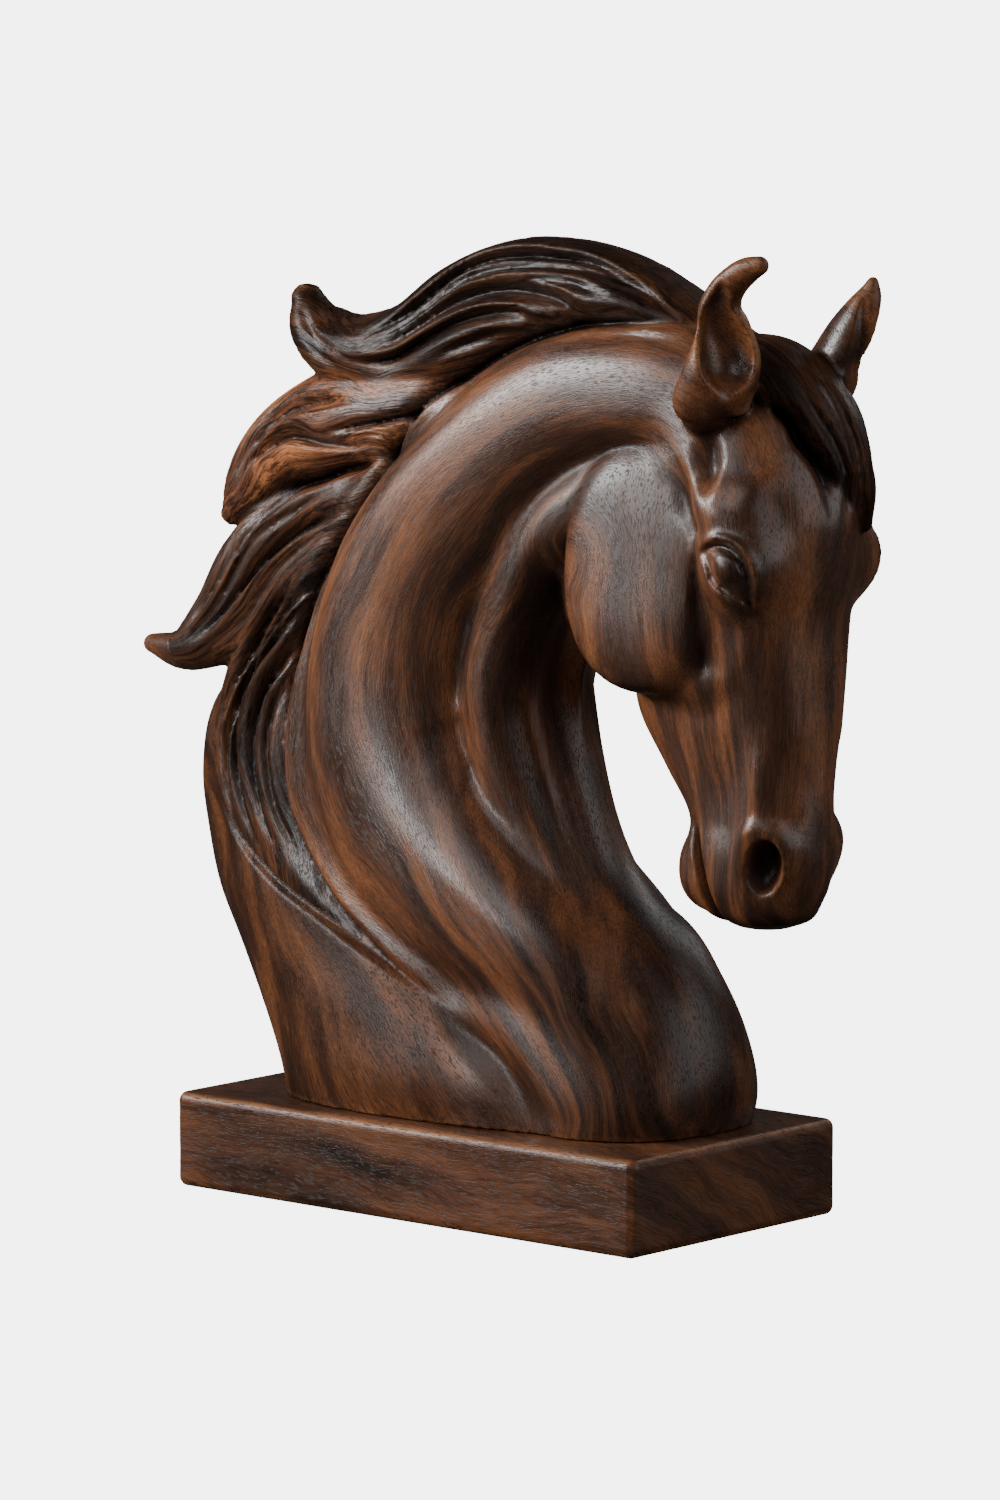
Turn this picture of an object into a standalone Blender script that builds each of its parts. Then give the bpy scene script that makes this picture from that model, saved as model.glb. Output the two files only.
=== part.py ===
"""Carved wooden horse head bust standing on a rounded rectangular plinth.

The bust faces +X, its near side is -Y and the underside of the plinth lies on Z = 0.
"""

from dataclasses import dataclass

import bpy
import numpy as np

# Bust, metres: its foot is a share of its own height
BUST_HEIGHT = 0.336
FOOT_LENGTH = 0.577 * BUST_HEIGHT
FOOT_WIDTH = 0.304 * BUST_HEIGHT
SEAT_GAP = 0.0003

# Plinth, metres: it stands out round the foot of the bust
PLINTH_END_MARGIN = 0.0190
PLINTH_SIDE_MARGIN = 0.0100
PLINTH_LENGTH = FOOT_LENGTH + 2 * PLINTH_END_MARGIN
PLINTH_WIDTH = FOOT_WIDTH + 2 * PLINTH_SIDE_MARGIN
PLINTH_HEIGHT = 0.0375
PLINTH_EDGE_RADIUS = 0.0035
PLINTH_EDGE_SEGMENTS = 4

# The carving below is laid out in steps, about 336 of them in the bust's height
GRID_LOW = (-178.0, -66.0)
GRID_HIGH = (182.0, 66.0, 342.0)
GRID_STEP = 1.6
SAWN_SHARE = 0.85  # how far up its grid cell the saw cuts
FINEST_LINES = {"lip": 1.4, "soft": 1.0, "sharp": 1.4}
BUST_TRIANGLES = 9000

# Finishes: colour, roughness
BUST_COLOUR = (0.105, 0.048, 0.026, 1.0)
BUST_ROUGHNESS = 0.38
PLINTH_COLOUR = (0.125, 0.056, 0.030, 1.0)
PLINTH_ROUGHNESS = 0.42

# Level sections: height, centre, reach forward, reach back, half width,
# fullness forward, fullness back, turn of the section
CLOAK_LEVELS = (
    (-8, 4, 92, 92, 49, 2.3, 2.5, 0.10),
    (12, 2, 94, 95, 50, 2.2, 2.5, 0.09),
    (34, -6, 94, 99, 49, 2.1, 2.4, 0.07),
    (56, -20, 88, 99, 47, 2.1, 2.4, 0.05),
    (76, -34, 80, 98, 44, 2.0, 2.3, 0.03),
    (96, -46, 76, 96, 41, 2.0, 2.3, 0.0),
    (120, -54, 76, 95, 37, 2.0, 2.3, 0.0),
    (146, -54, 74, 91, 34, 2.0, 2.2, 0.0),
    (170, -50, 60, 72, 31, 2.0, 2.0, 0.0),
    (190, -44, 40, 50, 26, 2.0, 2.0, 0.0),
    (200, -40, 20, 30, 14, 2.0, 2.0, 0.0),
)
CHEST_LEVELS = (
    (-8, 60, 41, 40, 44, 2.6, 2.2, 0.10),
    (12, 58, 49, 42, 45, 2.5, 2.2, 0.10),
    (34, 48, 57, 46, 43, 2.3, 2.2, 0.10),
    (56, 32, 64, 46, 40, 2.2, 2.2, 0.08),
    (76, 14, 65, 46, 35, 2.1, 2.1, 0.06),
    (95, 0, 49, 40, 28, 2.0, 2.0, 0.0),
    (112, -10, 36, 30, 18, 2.0, 2.0, 0.0),
)
HEAD_LEVELS = (
    (82, 130, 8, 10, 8, 2, 2, 0),
    (85, 129, 18, 20, 14, 2, 2, 0),
    (93, 127, 25, 29, 18.5, 2.3, 2.2, 0),
    (106, 126, 30, 32, 20, 2.4, 2.2, 0),
    (122, 126, 31, 28, 19, 2.5, 2.2, 0),
    (140, 125, 32, 40, 20.5, 2.6, 2.0, 0),
    (160, 124, 33, 52, 24, 2.6, 2.0, 0),
    (176, 124, 33, 54, 28, 2.6, 2.0, 0),
    (200, 123, 35, 48, 33, 2.4, 2.2, 0),
    (220, 122, 40, 48, 36, 2.3, 2.2, 0),
    (240, 121, 43, 46, 35, 2.2, 2.2, 0),
    (262, 117, 39, 40, 33, 2.1, 2.1, 0),
    (278, 114, 30, 34, 29, 2.0, 2.0, 0),
    (289, 110, 21, 22, 20, 2.0, 2.0, 0),
    (295, 108, 6, 6, 6, 2.0, 2.0, 0),
)
LEVEL_BLENDS = {"cloak": 0.0, "chest": 4.0, "head": 6.0}

# Muscle rolls: x, z, reach forward, reach back, half width, fullness forward, fullness back
NECK_ROLL = (
    (84, -22, 18, 24, 34, 2.0, 2.6),
    (73, 6, 24, 22, 39, 2.0, 2.6),
    (54, 34, 32, 21, 42, 2.0, 2.8),
    (27, 64, 36, 26, 44, 2.0, 3.4),
    (-6, 98, 40, 42, 44, 2.0, 4.2),
    (-33, 132, 48, 48, 43, 2.1, 4.8),
    (-38, 165, 46, 41, 41, 2.1, 4.8),
    (-24, 205, 39, 38, 39, 2.1, 4.8),
    (8, 242, 34, 35, 36, 2.1, 4.8),
    (48, 269, 27, 34, 34, 2.1, 4.8),
    (92, 277, 22, 29, 32, 2.1, 4.4),
    (125, 274, 20, 26, 28, 2.0, 3.0),
)
THROAT_ROLL = (
    (84, 20, 12, 14, 14, 2.0, 2.2),
    (74, 48, 13, 16, 18, 2.0, 2.2),
    (60, 72, 13, 18, 22, 2.0, 2.3),
    (44, 93, 13, 19, 27, 2.0, 2.5),
    (29, 115, 13, 19, 31, 2.0, 2.8),
    (19, 138, 14, 18, 34, 2.0, 3.0),
    (14.5, 162, 15, 18, 36, 2.0, 3.0),
    (23, 192, 17, 19, 37, 2.0, 3.0),
    (42, 223, 18, 18, 37, 2.0, 3.0),
    (70, 245, 18, 15, 35, 2.0, 2.6),
    (104, 253, 18, 12, 32, 2.0, 2.2),
)
WINDPIPE = (
    (78, 48, 8, 16, 15, 2.0, 2.0),
    (66, 72, 9, 16, 16, 2.0, 2.0),
    (52, 96, 7, 16, 15, 2.0, 2.0),
    (40.5, 122, 7, 16, 15, 2.0, 2.0),
    (32, 150, 8, 16, 16, 2.0, 2.0),
    (32, 176, 10, 16, 18, 2.0, 2.0),
    (46, 204, 14, 16, 22, 2.0, 2.0),
    (66, 226, 16, 16, 24, 2.0, 2.0),
)
ROLLS = ((NECK_ROLL, 3.0), (THROAT_ROLL, 2.0), (WINDPIPE, 3.0))
ROLL_END = 10.0

# Paired rounds of the head: centre, radii, turn about Y, blend
HEAD_ROUNDS = (
    ((110, 13, 176), (24, 16, 13), 10, 6.0),
    ((142, 28.5, 222), (16, 12, 20), 0, 6.0),
    ((134, 27, 240), (15, 12, 12), 0, 6.0),
    ((145.5, 14.5, 112), (11, 8.5, 15), 8, 5.0),
)
EYEBALL_CENTRE = (143.5, 34.0, 220)
EYEBALL_RADII = (9, 8.2, 9)
EYEBALL_BLEND = 0.4
JOWL_CENTRE = (90, 17, 217)
JOWL_RADII = (34, 22.5, 48.5)
JOWL_FULLNESS = (2.3, 3.2)
JOWL_TURN = 2.0
JOWL_BLEND = 1.2
CHIN_CENTRE = (103, 0, 101)
CHIN_RADII = (9.5, 13, 14)
CHIN_BLEND = 5.0
NOSTRIL_CENTRE = (150, 22, 110)
NOSTRIL_RADII = (7.5, 9, 12)
NOSTRIL_TURNS = (12, 20)
NOSTRIL_RIM = 1.5

# Ears: x, y, z, half breadth, half thickness
NEAR_EAR = (
    (126, -28, 274, 10, 8),
    (128, -30, 279, 12.5, 9.5),
    (131.5, -31, 286, 14, 10.5),
    (134.5, -31, 297, 14, 10.5),
    (133.5, -31, 308, 10.5, 8.5),
    (132, -31, 315.5, 8.3, 7),
    (134, -31, 321, 6.8, 5.8),
    (138.5, -31, 326, 5.4, 4.8),
    (144.5, -31, 330.3, 4.3, 3.6),
    (150.5, -31, 333, 2.2, 2.2),
)
NEAR_EAR_HOLLOW = (
    (142.2, -37.2, 287, 5, 4),
    (141.7, -36.7, 293, 10, 8),
    (140.8, -36.7, 300.3, 11.3, 10),
    (138.6, -38.2, 309.1, 8.6, 9),
    (137.7, -38.2, 316, 5.4, 7),
    (137.6, -37, 321.1, 2.8, 4.5),
    (137.4, -36.7, 325, 1, 2),
)
NEAR_EAR_FACING = (0.84, -0.52, 0.12)
FAR_EAR = (
    (122, 27, 268, 14, 10),
    (128, 30, 279, 17, 11),
    (136, 31, 289, 17, 11),
    (142.5, 31, 299.5, 14.5, 10),
    (149, 31, 310, 10, 8),
    (153, 31, 318, 5.5, 5),
    (154.5, 31, 323, 2.4, 2.4),
)
FAR_EAR_HOLLOW = (
    (143, 38, 284, 6, 5),
    (147, 38, 292, 9, 8),
    (152, 38, 301, 8, 8),
    (156, 37, 310, 5, 5),
    (158, 36, 317, 2, 3),
)
FAR_EAR_FACING = (0.84, 0.52, 0.12)
EAR_BLEND = 1.5
EAR_RIM = 1.0

# Mane and forelock: x, y, z, half breadth, half thickness
CROWN_LOCK = (
    (112, 0, 297, 8, 20),
    (88, 0, 306, 13, 23),
    (58, 0, 311, 21.5, 24),
    (20, 0, 307, 29, 24),
    (-16, 0, 297, 28, 24),
    (-46, -3, 289, 18, 21),
    (-74, -5, 288, 14.5, 17),
    (-90, -6, 297, 11, 12),
    (-96, -5, 307, 6, 7),
)
CROWN_SCOOP_CENTRE = (-66, -24, 309)
CROWN_SCOOP_RADII = (26, 17, 13)
CROWN_SCOOP_TURN = -8
CROWN_SCOOP_RIM = 2.0
MIDDLE_LOCK = (
    (20, 0, 264, 16, 24),
    (-20, 0, 266, 24, 25),
    (-55, -2, 261, 26, 23),
    (-84, -4, 255, 24, 19),
    (-108, -6, 246, 18, 14),
    (-124, -7, 233, 12, 10),
    (-134, -7, 221, 5, 5),
)
LOW_LOCK = (
    (-20, 0, 230, 18, 24),
    (-60, 0, 226, 25, 24),
    (-92, -4, 211, 28, 20),
    (-116, -8, 193, 26, 16),
    (-137, -11, 176, 16, 12),
    (-155, -13, 166, 8.5, 8),
    (-172, -13, 167, 4, 4),
)
NAPE = (
    (-40, 0, 240, 20, 26),
    (-75, 0, 200, 26, 27),
    (-96, 0, 165, 34, 27),
    (-108, 0, 130, 35, 28),
    (-106, 0, 100, 31, 27),
)
LOCKS = ((CROWN_LOCK, 3.0, 2.0), (MIDDLE_LOCK, 2.4, 2.0), (LOW_LOCK, 2.4, 2.0), (NAPE, 2.4, 4.0))
FORELOCK = (
    (108, -4, 295, 14, 8),
    (130, -2, 293, 18, 8),
    (147, 5, 281, 18, 8),
    (157, 11, 262, 15, 8),
    (159, 16, 246, 10, 7),
    (160, 20, 234, 3, 3),
)
FORELOCK_FACING = (0.7, -0.2, 0.7)
FORELOCK_BLEND = 3.0

# Steps down beside a line: x, z, lip, depth, ease
LIPS = (
    ((125, 306, 1.5, 1, 8), (97, 307, 1.5, 4, 9), (50, 303, 1.5, 5, 9), (10, 289, 1.5, 5, 9),
     (-25, 266, 1.5, 4, 9), (-50, 226, 1.5, 4, 9), (-72, 198, 1.5, 4, 10), (-84, 165, 1.5, 5, 11),
     (-87, 135, 1.5, 5, 12), (-82, 110, 1.5, 5, 12), (-60, 83, 1.5, 4, 10), (14, 42, 1.5, 1, 4)),
    ((12, 43, 1.2, 1, 4), (-26, 57, 1.2, 2.5, 7), (-60, 71, 1.2, 3, 10), (-90, 83, 1.2, 3, 12),
     (-117, 100, 1.2, 3, 12), (-130, 120, 1.2, 2, 10)),
    ((-58, 294, 1, 2, 8), (-27, 311, 1, 3.5, 8), (14, 327, 1, 3.5, 8), (41, 329, 1, 3.5, 8),
     (66, 324, 1, 3.5, 8), (109, 303, 1, 2, 6)),
    ((-62, 290, 1, 2, 7), (-16, 305, 1, 3, 7), (6, 314, 1, 3, 7), (34, 318, 1, 3, 7), (88, 307, 1, 1, 6)),
    ((-76, 287, 1, 1.5, 7), (-42, 287, 1, 3, 8), (-2, 303, 1, 3, 8), (20, 307, 1, 3, 8), (42, 303, 1, 1.5, 7)),
    ((-18, 289, 1, 1, 5), (0, 295, 1, 2.5, 6), (34, 298, 1, 1, 5)),
    ((-126, 238, 1, 1.5, 7), (-112, 252, 1, 3, 8), (-94, 262, 1, 3, 8), (-50, 269, 1, 1, 6)),
    ((-134, 227, 1, 1.5, 7), (-114, 241, 1, 3, 8), (-93, 252, 1, 3, 8), (-36, 258, 1, 1.5, 6)),
    ((-153, 172, 1, 1, 7), (-126, 198, 1, 3, 9), (-96, 227, 1, 3, 9), (-43, 248, 1, 1, 6)),
    ((-142, 168, 1, 1, 8), (-124, 179, 1, 2.5, 9), (-105, 198, 1, 3, 10), (-55, 226, 1, 2, 8)),
)

# Grooves (positive) and ridges (negative): x, z, half width, depth
SOFT_LINES = (
    ((2, 43, 4, 0), (17, 35, 5, 4), (36, 25, 6, 5.5), (50, 10, 7, 5), (57, -4, 8, 4)),
    ((-119, 229, 3, 1), (-108, 240, 5, 4), (-89, 247, 5, 4), (-63, 249, 4, 2)),
    ((119, 262, 4, -2.0), (122, 253, 4, -3.2), (128, 242, 4, -3.2), (135, 234, 5, -2)),
    ((137, 268, 4, -1.5), (135, 261, 4, -3), (133.5, 253, 3.5, -3), (131, 245, 3.5, -2)),
    ((127, 264, 5, 2), (128.5, 257, 5, 5), (130, 249, 4, 3)),
    ((115, 258, 4, 1), (117, 248, 4, 3), (122, 236, 4, 3), (125, 228, 3, 2)),
    ((128, 205, 5, 1), (127, 195, 5, 3.5), (127, 184, 5, 3)),
    ((143, 196, 4, -1), (139, 188, 4, -2.5), (132, 179, 4, -3), (124, 174, 4, -2)),
    ((100, 166, 5, 1), (112, 170, 5, 2.5), (124, 172, 4, 2)),
    ((128, 229.5, 1.6, -1), (137, 232.5, 1.8, -2), (152, 227, 1.8, -2.2), (156, 209, 1.6, -1)),
    ((128, 229.5, 1.4, -1), (132, 221, 1.6, -1.8), (141, 213, 1.6, -1.8), (156, 208, 1.4, -1)),
    ((111, 119, 2.5, 2), (114, 109, 2.5, 4.5), (116, 99, 2.5, 4.5), (119, 88, 2.5, 4)),
)
SHARP_GROOVES = (
    ((-74, 257, 2, 0.5), (-57, 262, 3, 3), (-40, 265, 3, 3), (-23, 267, 2, 1)),
    ((-160, 166, 2, 1), (-139, 172, 3, 3.5), (-104, 203, 3.5, 4), (-55, 230, 2, 1)),
    ((-97, 93, 2, 1), (-113, 112, 2.5, 3), (-118, 128, 3, 3.5), (-106, 163, 3, 3.5), (-81, 188, 2, 1)),
    ((-91, 91, 2, 1), (-110, 126, 3, 3.5), (-109, 146, 3, 3.5), (-78, 184, 2, 1)),
    ((-71, 79, 2, 1), (-92, 103, 2.5, 3.5), (-99, 121, 3, 4), (-96, 136, 3, 4), (-88, 152, 2, 1)),
)

# How curves and distances are worked out
STATION_ROWS = 8
LINE_ROWS = 6
CHORD_POWER = 0.7
FAR = 50.0
WINDOW_MARGIN = 3.0
LEAST_SHARE = 1e-4
STEEPEST = 3.0
SHARP_POWER = 1.3
SANDED_REACH = 6.0
SANDING_PASSES = 2
PINCH_FILL = 0.05
CORNERS = [(i, j, k) for i in (0, 1) for j in (0, 1) for k in (0, 1)]


def smallest(first, second, blend):
    """Union of two distances, filleted over the blend."""
    if blend <= 0:
        return np.minimum(first, second)
    share = np.clip(0.5 + 0.5 * (second - first) / blend, 0, 1)
    return second + share * (first - second) - blend * share * (1 - share)


def curve_rows(stations, rows_between, keys=3):
    """Rows of a smooth curve through the stations."""
    points = np.array(stations, float)
    chords = np.linalg.norm(np.diff(points[:, :keys], axis=0), axis=1) ** CHORD_POWER
    place = np.concatenate([[0], np.cumsum(chords)])
    pace = np.diff(points, axis=0) / chords[:, None]
    slope = np.empty_like(points)
    slope[0] = pace[0]
    slope[-1] = pace[-1]
    before, after = chords[:-1, None], chords[1:, None]
    slope[1:-1] = (pace[:-1] * after + pace[1:] * before) / (before + after)
    rows = []
    for i in range(len(points) - 1):
        span = place[i + 1] - place[i]
        for s in np.arange(rows_between) / rows_between:
            rows.append(
                points[i] * (2 * s**3 - 3 * s**2 + 1)
                + slope[i] * span * (s**3 - 2 * s**2 + s)
                + points[i + 1] * (3 * s**2 - 2 * s**3)
                + slope[i + 1] * span * (s**3 - s**2)
            )
    rows.append(points[-1])
    return np.array(rows)


def turning(about_y=0.0, about_z=0.0):
    """Rotation matrix for a turn about Y, then about Z, in degrees."""
    y, z = np.radians(about_y), np.radians(about_z)
    round_y = np.array([[np.cos(y), 0, np.sin(y)], [0, 1, 0], [-np.sin(y), 0, np.cos(y)]])
    round_z = np.array([[np.cos(z), -np.sin(z), 0], [np.sin(z), np.cos(z), 0], [0, 0, 1]])
    return round_z @ round_y


def mirrored(point, side):
    """A point with its y on the chosen side."""
    return (point[0], side * point[1], point[2])


@dataclass
class Round:
    """Ellipsoid, or a flattened disc when its fullness is over 2."""

    centre: tuple
    radii: tuple
    turned: np.ndarray
    outline: float = 2.0
    fullness: float = 2.0

    def box(self):
        reach = np.abs(self.turned) @ np.array(self.radii, float)
        return np.array(self.centre) - reach, np.array(self.centre) + reach

    def distance(self, x, y, z):
        offset = [axis - c for axis, c in zip((x, y, z), self.centre)]
        local = [sum(np.float32(self.turned[j, i]) * offset[j] for j in range(3)) for i in range(3)]
        scaled = [np.abs(q / np.float32(r)) for q, r in zip(local, self.radii)]
        flat = (scaled[0] ** self.outline + scaled[2] ** self.outline) ** (1 / self.outline)
        share = (flat**self.fullness + scaled[1] ** self.fullness) ** (1 / self.fullness)
        reach = np.sqrt(sum(q * q for q in local))
        return reach - reach / np.maximum(share, LEAST_SHARE)


class Levels:
    """Solid of level sections stacked up Z."""

    def __init__(self, table):
        rows = curve_rows([(row[0], 0, 0) + tuple(row[1:]) for row in table], STATION_ROWS)
        order = np.argsort(rows[:, 0])
        self.height = rows[order, 0]
        self.sizes = rows[order, 3:]
        self.slopes = np.gradient(self.sizes, self.height, axis=0)

    def box(self):
        centre, ahead, behind, half = self.sizes[:, :4].T
        width = (half + np.abs(self.sizes[:, 6]) * np.maximum(ahead, behind)).max()
        low = np.array([(centre - behind).min(), -width, self.height[0]])
        high = np.array([(centre + ahead).max(), width, self.height[-1]])
        return low, high

    def distance(self, x, y, z):
        def size(i):
            return np.interp(z, self.height, self.sizes[:, i]).astype(np.float32)

        def slope(i):
            return np.interp(z, self.height, self.slopes[:, i]).astype(np.float32)

        along = x - size(0)
        across = y - size(6) * along
        ahead = along > 0
        reach = np.where(ahead, size(1), size(2))
        power = np.where(ahead, size(4), size(5))
        share = ((np.abs(along) / reach) ** power + (np.abs(across) / size(3)) ** power) ** (1 / power)
        radius = np.sqrt(along * along + across * across)
        flat = radius - radius / np.maximum(share, LEAST_SHARE)
        lean = np.where(ahead, slope(0) + slope(1), slope(0) - slope(2))
        lean = np.clip(lean, -STEEPEST, STEEPEST) * along
        swell = np.clip(slope(3), -STEEPEST, STEEPEST) * across
        steepness = np.sqrt(1 + (lean**2 + swell**2) / np.maximum(radius, LEAST_SHARE) ** 2)
        beyond = np.maximum(z - np.float32(self.height[-1]), np.float32(self.height[0]) - z)
        return np.maximum(flat / steepness, beyond)


class Path:
    """Smooth line in space that carries sizes along it."""

    def __init__(self, rows):
        self.points = rows[:, :3]
        self.sizes = rows[:, 3:]
        self.level = np.ptp(self.points[:, 1]) < 1e-6
        ahead = np.gradient(self.points, axis=0)
        self.ahead = ahead / np.linalg.norm(ahead, axis=1)[:, None]

    def place(self, x, y, z):
        """Row number of the nearest point of the line, with its fraction."""
        best, found = None, None
        for i in range(len(self.points) - 1):
            start, step = self.points[i], self.points[i + 1] - self.points[i]
            start, step = start.astype(np.float32), step.astype(np.float32)
            along = (x - start[0]) * step[0] + (z - start[2]) * step[2]
            if not self.level:
                along = along + (y - start[1]) * step[1]
            s = np.clip(along / (step @ step), 0, 1)
            gap = (x - start[0] - s * step[0]) ** 2 + (z - start[2] - s * step[2]) ** 2
            if not self.level:
                gap = gap + (y - start[1] - s * step[1]) ** 2
            if best is None:
                best, found = gap, s
            else:
                closer = gap < best
                best = np.where(closer, gap, best)
                found = np.where(closer, s + np.float32(i), found)
        return found

    def at(self, values, place):
        return np.interp(place, np.arange(len(values)), values).astype(np.float32)

    def vector(self, vectors, place, offset):
        """Component of the offset along a direction carried by the line."""
        return sum(self.at(vectors[:, i], place) * offset[i] for i in range(3))

    def offset(self, place, x, y, z):
        return [axis - self.at(self.points[:, i], place) for i, axis in enumerate((x, y, z))]


class Roll(Path):
    """Solid of sections square to a line in the middle plane."""

    def __init__(self, table):
        super().__init__(curve_rows([(r[0], 0, r[1]) + tuple(r[2:]) for r in table], STATION_ROWS))
        self.forward = np.column_stack([self.ahead[:, 2], 0 * self.ahead[:, 0], -self.ahead[:, 0]])

    def box(self):
        reach = np.maximum(self.sizes[:, 0], self.sizes[:, 1])[:, None] * [1, 0, 1]
        reach = reach + self.sizes[:, 2:3] * [0, 1, 0]
        return (self.points - reach).min(0), (self.points + reach).max(0)

    def distance(self, x, y, z):
        place = self.place(x, y, z)
        offset = self.offset(place, x, y, z)
        forward = self.vector(self.forward, place, offset)
        end = self.vector(self.ahead, place, offset)
        ahead = forward > 0
        reach = np.where(ahead, self.at(self.sizes[:, 0], place), self.at(self.sizes[:, 1], place))
        power = np.where(ahead, self.at(self.sizes[:, 3], place), self.at(self.sizes[:, 4], place))
        half = self.at(self.sizes[:, 2], place)
        share = (np.abs(forward) / reach) ** power + (np.abs(end) / ROLL_END) ** power
        share = (share + (np.abs(y) / half) ** power) ** (1 / power)
        radius = np.sqrt(forward * forward + end * end + y * y)
        return radius - radius / np.maximum(share, LEAST_SHARE)


class Lock(Path):
    """Solid swept along a line in space, broad across its facing direction."""

    def __init__(self, table, facing=(0, 1, 0), power=2.0):
        super().__init__(curve_rows(table, STATION_ROWS))
        self.power = power
        facing = np.array(facing, float) - (self.ahead @ np.array(facing, float))[:, None] * self.ahead
        self.facing = facing / np.linalg.norm(facing, axis=1)[:, None]
        self.broad = np.cross(self.facing, self.ahead)

    def box(self):
        reach = self.sizes.max(axis=1)[:, None]
        return (self.points - reach).min(0), (self.points + reach).max(0)

    def distance(self, x, y, z):
        place = self.place(x, y, z)
        offset = self.offset(place, x, y, z)
        parts = [self.vector(v, place, offset) for v in (self.broad, self.facing, self.ahead)]
        breadth, thickness = self.at(self.sizes[:, 0], place), self.at(self.sizes[:, 1], place)
        halves = (breadth, thickness, np.minimum(breadth, thickness))
        share = sum(np.abs(p / h) ** self.power for p, h in zip(parts, halves)) ** (1 / self.power)
        radius = np.sqrt(sum(p * p for p in parts))
        return radius - radius / np.maximum(share, LEAST_SHARE)


class Line(Path):
    """Relief line drawn on both sides of the carving, in side view."""

    MIDDLE = 10.0
    END_ROWS = 4

    def __init__(self, table, kind, finest):
        super().__init__(curve_rows([(r[0], 0, r[1]) + tuple(r[2:]) for r in table], LINE_ROWS))
        self.kind = kind
        self.sizes[:, 0] = np.maximum(self.sizes[:, 0], finest)
        self.beside = np.column_stack([self.ahead[:, 2], 0 * self.ahead[:, 0], -self.ahead[:, 0]])

    def box(self):
        reach = 3 * np.delete(self.sizes, 1, axis=1).max() * np.array([1, 0, 1])
        wide = np.array([0, GRID_HIGH[1], 0])
        return self.points.min(0) - reach - wide, self.points.max(0) + reach + wide

    def depth(self, x, y, z):
        place = self.place(x, y, z)
        offset = self.offset(place, x, 0, z)
        width, depth = self.at(self.sizes[:, 0], place), self.at(self.sizes[:, 1], place)
        gap = np.sqrt(offset[0] ** 2 + offset[2] ** 2)
        if self.kind == "soft":
            shape = np.exp(-((gap / width) ** 2))
        elif self.kind == "sharp":
            shape = np.clip(1 - gap / width, 0, 1) ** SHARP_POWER
        else:
            across = self.vector(self.beside, place, offset)
            ease = self.at(self.sizes[:, 2], place)
            eased = np.clip(1 - across / ease, 0, 1) ** 2
            shape = np.where(across > 0, eased, np.clip(1 + across / width, 0, 1))
            shape = shape * np.clip(np.minimum(place, len(self.points) - 1 - place) / self.END_ROWS, 0, 1)
        return depth * shape * np.clip(np.abs(y) / self.MIDDLE, 0, 1)


class Carving:
    """Block of distances to the carved surface, negative inside the wood."""

    def __init__(self):
        low = GRID_LOW + (-(1 + SAWN_SHARE) * GRID_STEP,)
        self.axes = [
            np.arange(a, b + GRID_STEP, GRID_STEP, dtype=np.float32) for a, b in zip(low, GRID_HIGH)
        ]
        self.field = np.full([len(axis) for axis in self.axes], FAR, np.float32)

    def window(self, box, margin):
        """Slices of the block round a box, and the open grid of its coordinates."""
        slices = []
        for axis, low, high in zip(self.axes, box[0], box[1]):
            first = max(0, int(np.floor((low - margin - axis[0]) / GRID_STEP)))
            last = min(len(axis), int(np.ceil((high + margin - axis[0]) / GRID_STEP)) + 1)
            slices.append(slice(first, last))
        x, y, z = (axis[s] for axis, s in zip(self.axes, slices))
        return tuple(slices), (x[:, None, None], y[None, :, None], z[None, None, :])

    def add(self, shape, blend):
        where, grid = self.window(shape.box(), blend + WINDOW_MARGIN)
        self.field[where] = smallest(self.field[where], shape.distance(*grid), blend)

    def cut(self, shape, blend):
        where, grid = self.window(shape.box(), blend + WINDOW_MARGIN)
        self.field[where] = -smallest(-self.field[where], shape.distance(*grid), blend)

    def engrave(self, line):
        where, grid = self.window(line.box(), 0)
        self.field[where] += line.depth(*grid)

    def sanded(self):
        """The distances evened out over about one grid step."""
        field = self.field
        for axis in range(3):
            field = (2 * field + np.roll(field, 1, axis) + np.roll(field, -1, axis)) / 4
        return field

    def sand(self, passes):
        self.field = np.clip(self.field, -SANDED_REACH, SANDED_REACH)
        for _ in range(round(passes)):
            self.field = self.sanded()

    def saw_base(self):
        self.field = np.maximum(self.field, -self.axes[2][None, None, :])

    def close_pinches(self):
        """Fills, a little at a time, the cells whose surface would touch itself."""
        simple = simple_cells()
        while True:
            pinched = np.argwhere(~simple[self.corner_codes()])
            if not len(pinched):
                return
            held = np.zeros(self.field.shape, bool)
            for corner in CORNERS:
                held[tuple((pinched + corner).T)] = True
            filled = np.minimum(self.field, self.sanded()) - PINCH_FILL
            self.field = np.where(held, filled, self.field)

    def corner_codes(self):
        """For each cell, which of its corners are inside the wood, as bits."""
        inside = (self.field < 0).astype(np.uint8)
        size = [n - 1 for n in self.field.shape]
        return sum(
            inside[i : size[0] + i, j : size[1] + j, k : size[2] + k] << np.uint8(bit)
            for bit, (i, j, k) in enumerate(CORNERS)
        )


def simple_cells():
    """For each pattern of cell corners, whether a single plain sheet crosses the cell."""
    faces = [[c for c in CORNERS if c[axis] == side] for axis in range(3) for side in (0, 1)]
    simple = np.ones(2 ** len(CORNERS), bool)
    for code in range(len(simple)):
        inside = {c for bit, c in enumerate(CORNERS) if code >> bit & 1}
        for group in (inside, set(CORNERS) - inside):
            simple[code] &= connected(group)
        for face in faces:
            held = [c for c in face if c in inside]
            apart = len(held) == 2 and sum(a != b for a, b in zip(*held)) == 2
            simple[code] &= not apart
    return simple


def connected(group):
    """Whether the cell corners of a group are joined by cell edges."""
    if not group:
        return True
    reached = [min(group)]
    for corner in reached:
        for other in sorted(group):
            if other not in reached and sum(a != b for a, b in zip(corner, other)) == 1:
                reached.append(other)
    return len(reached) == len(group)


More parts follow.
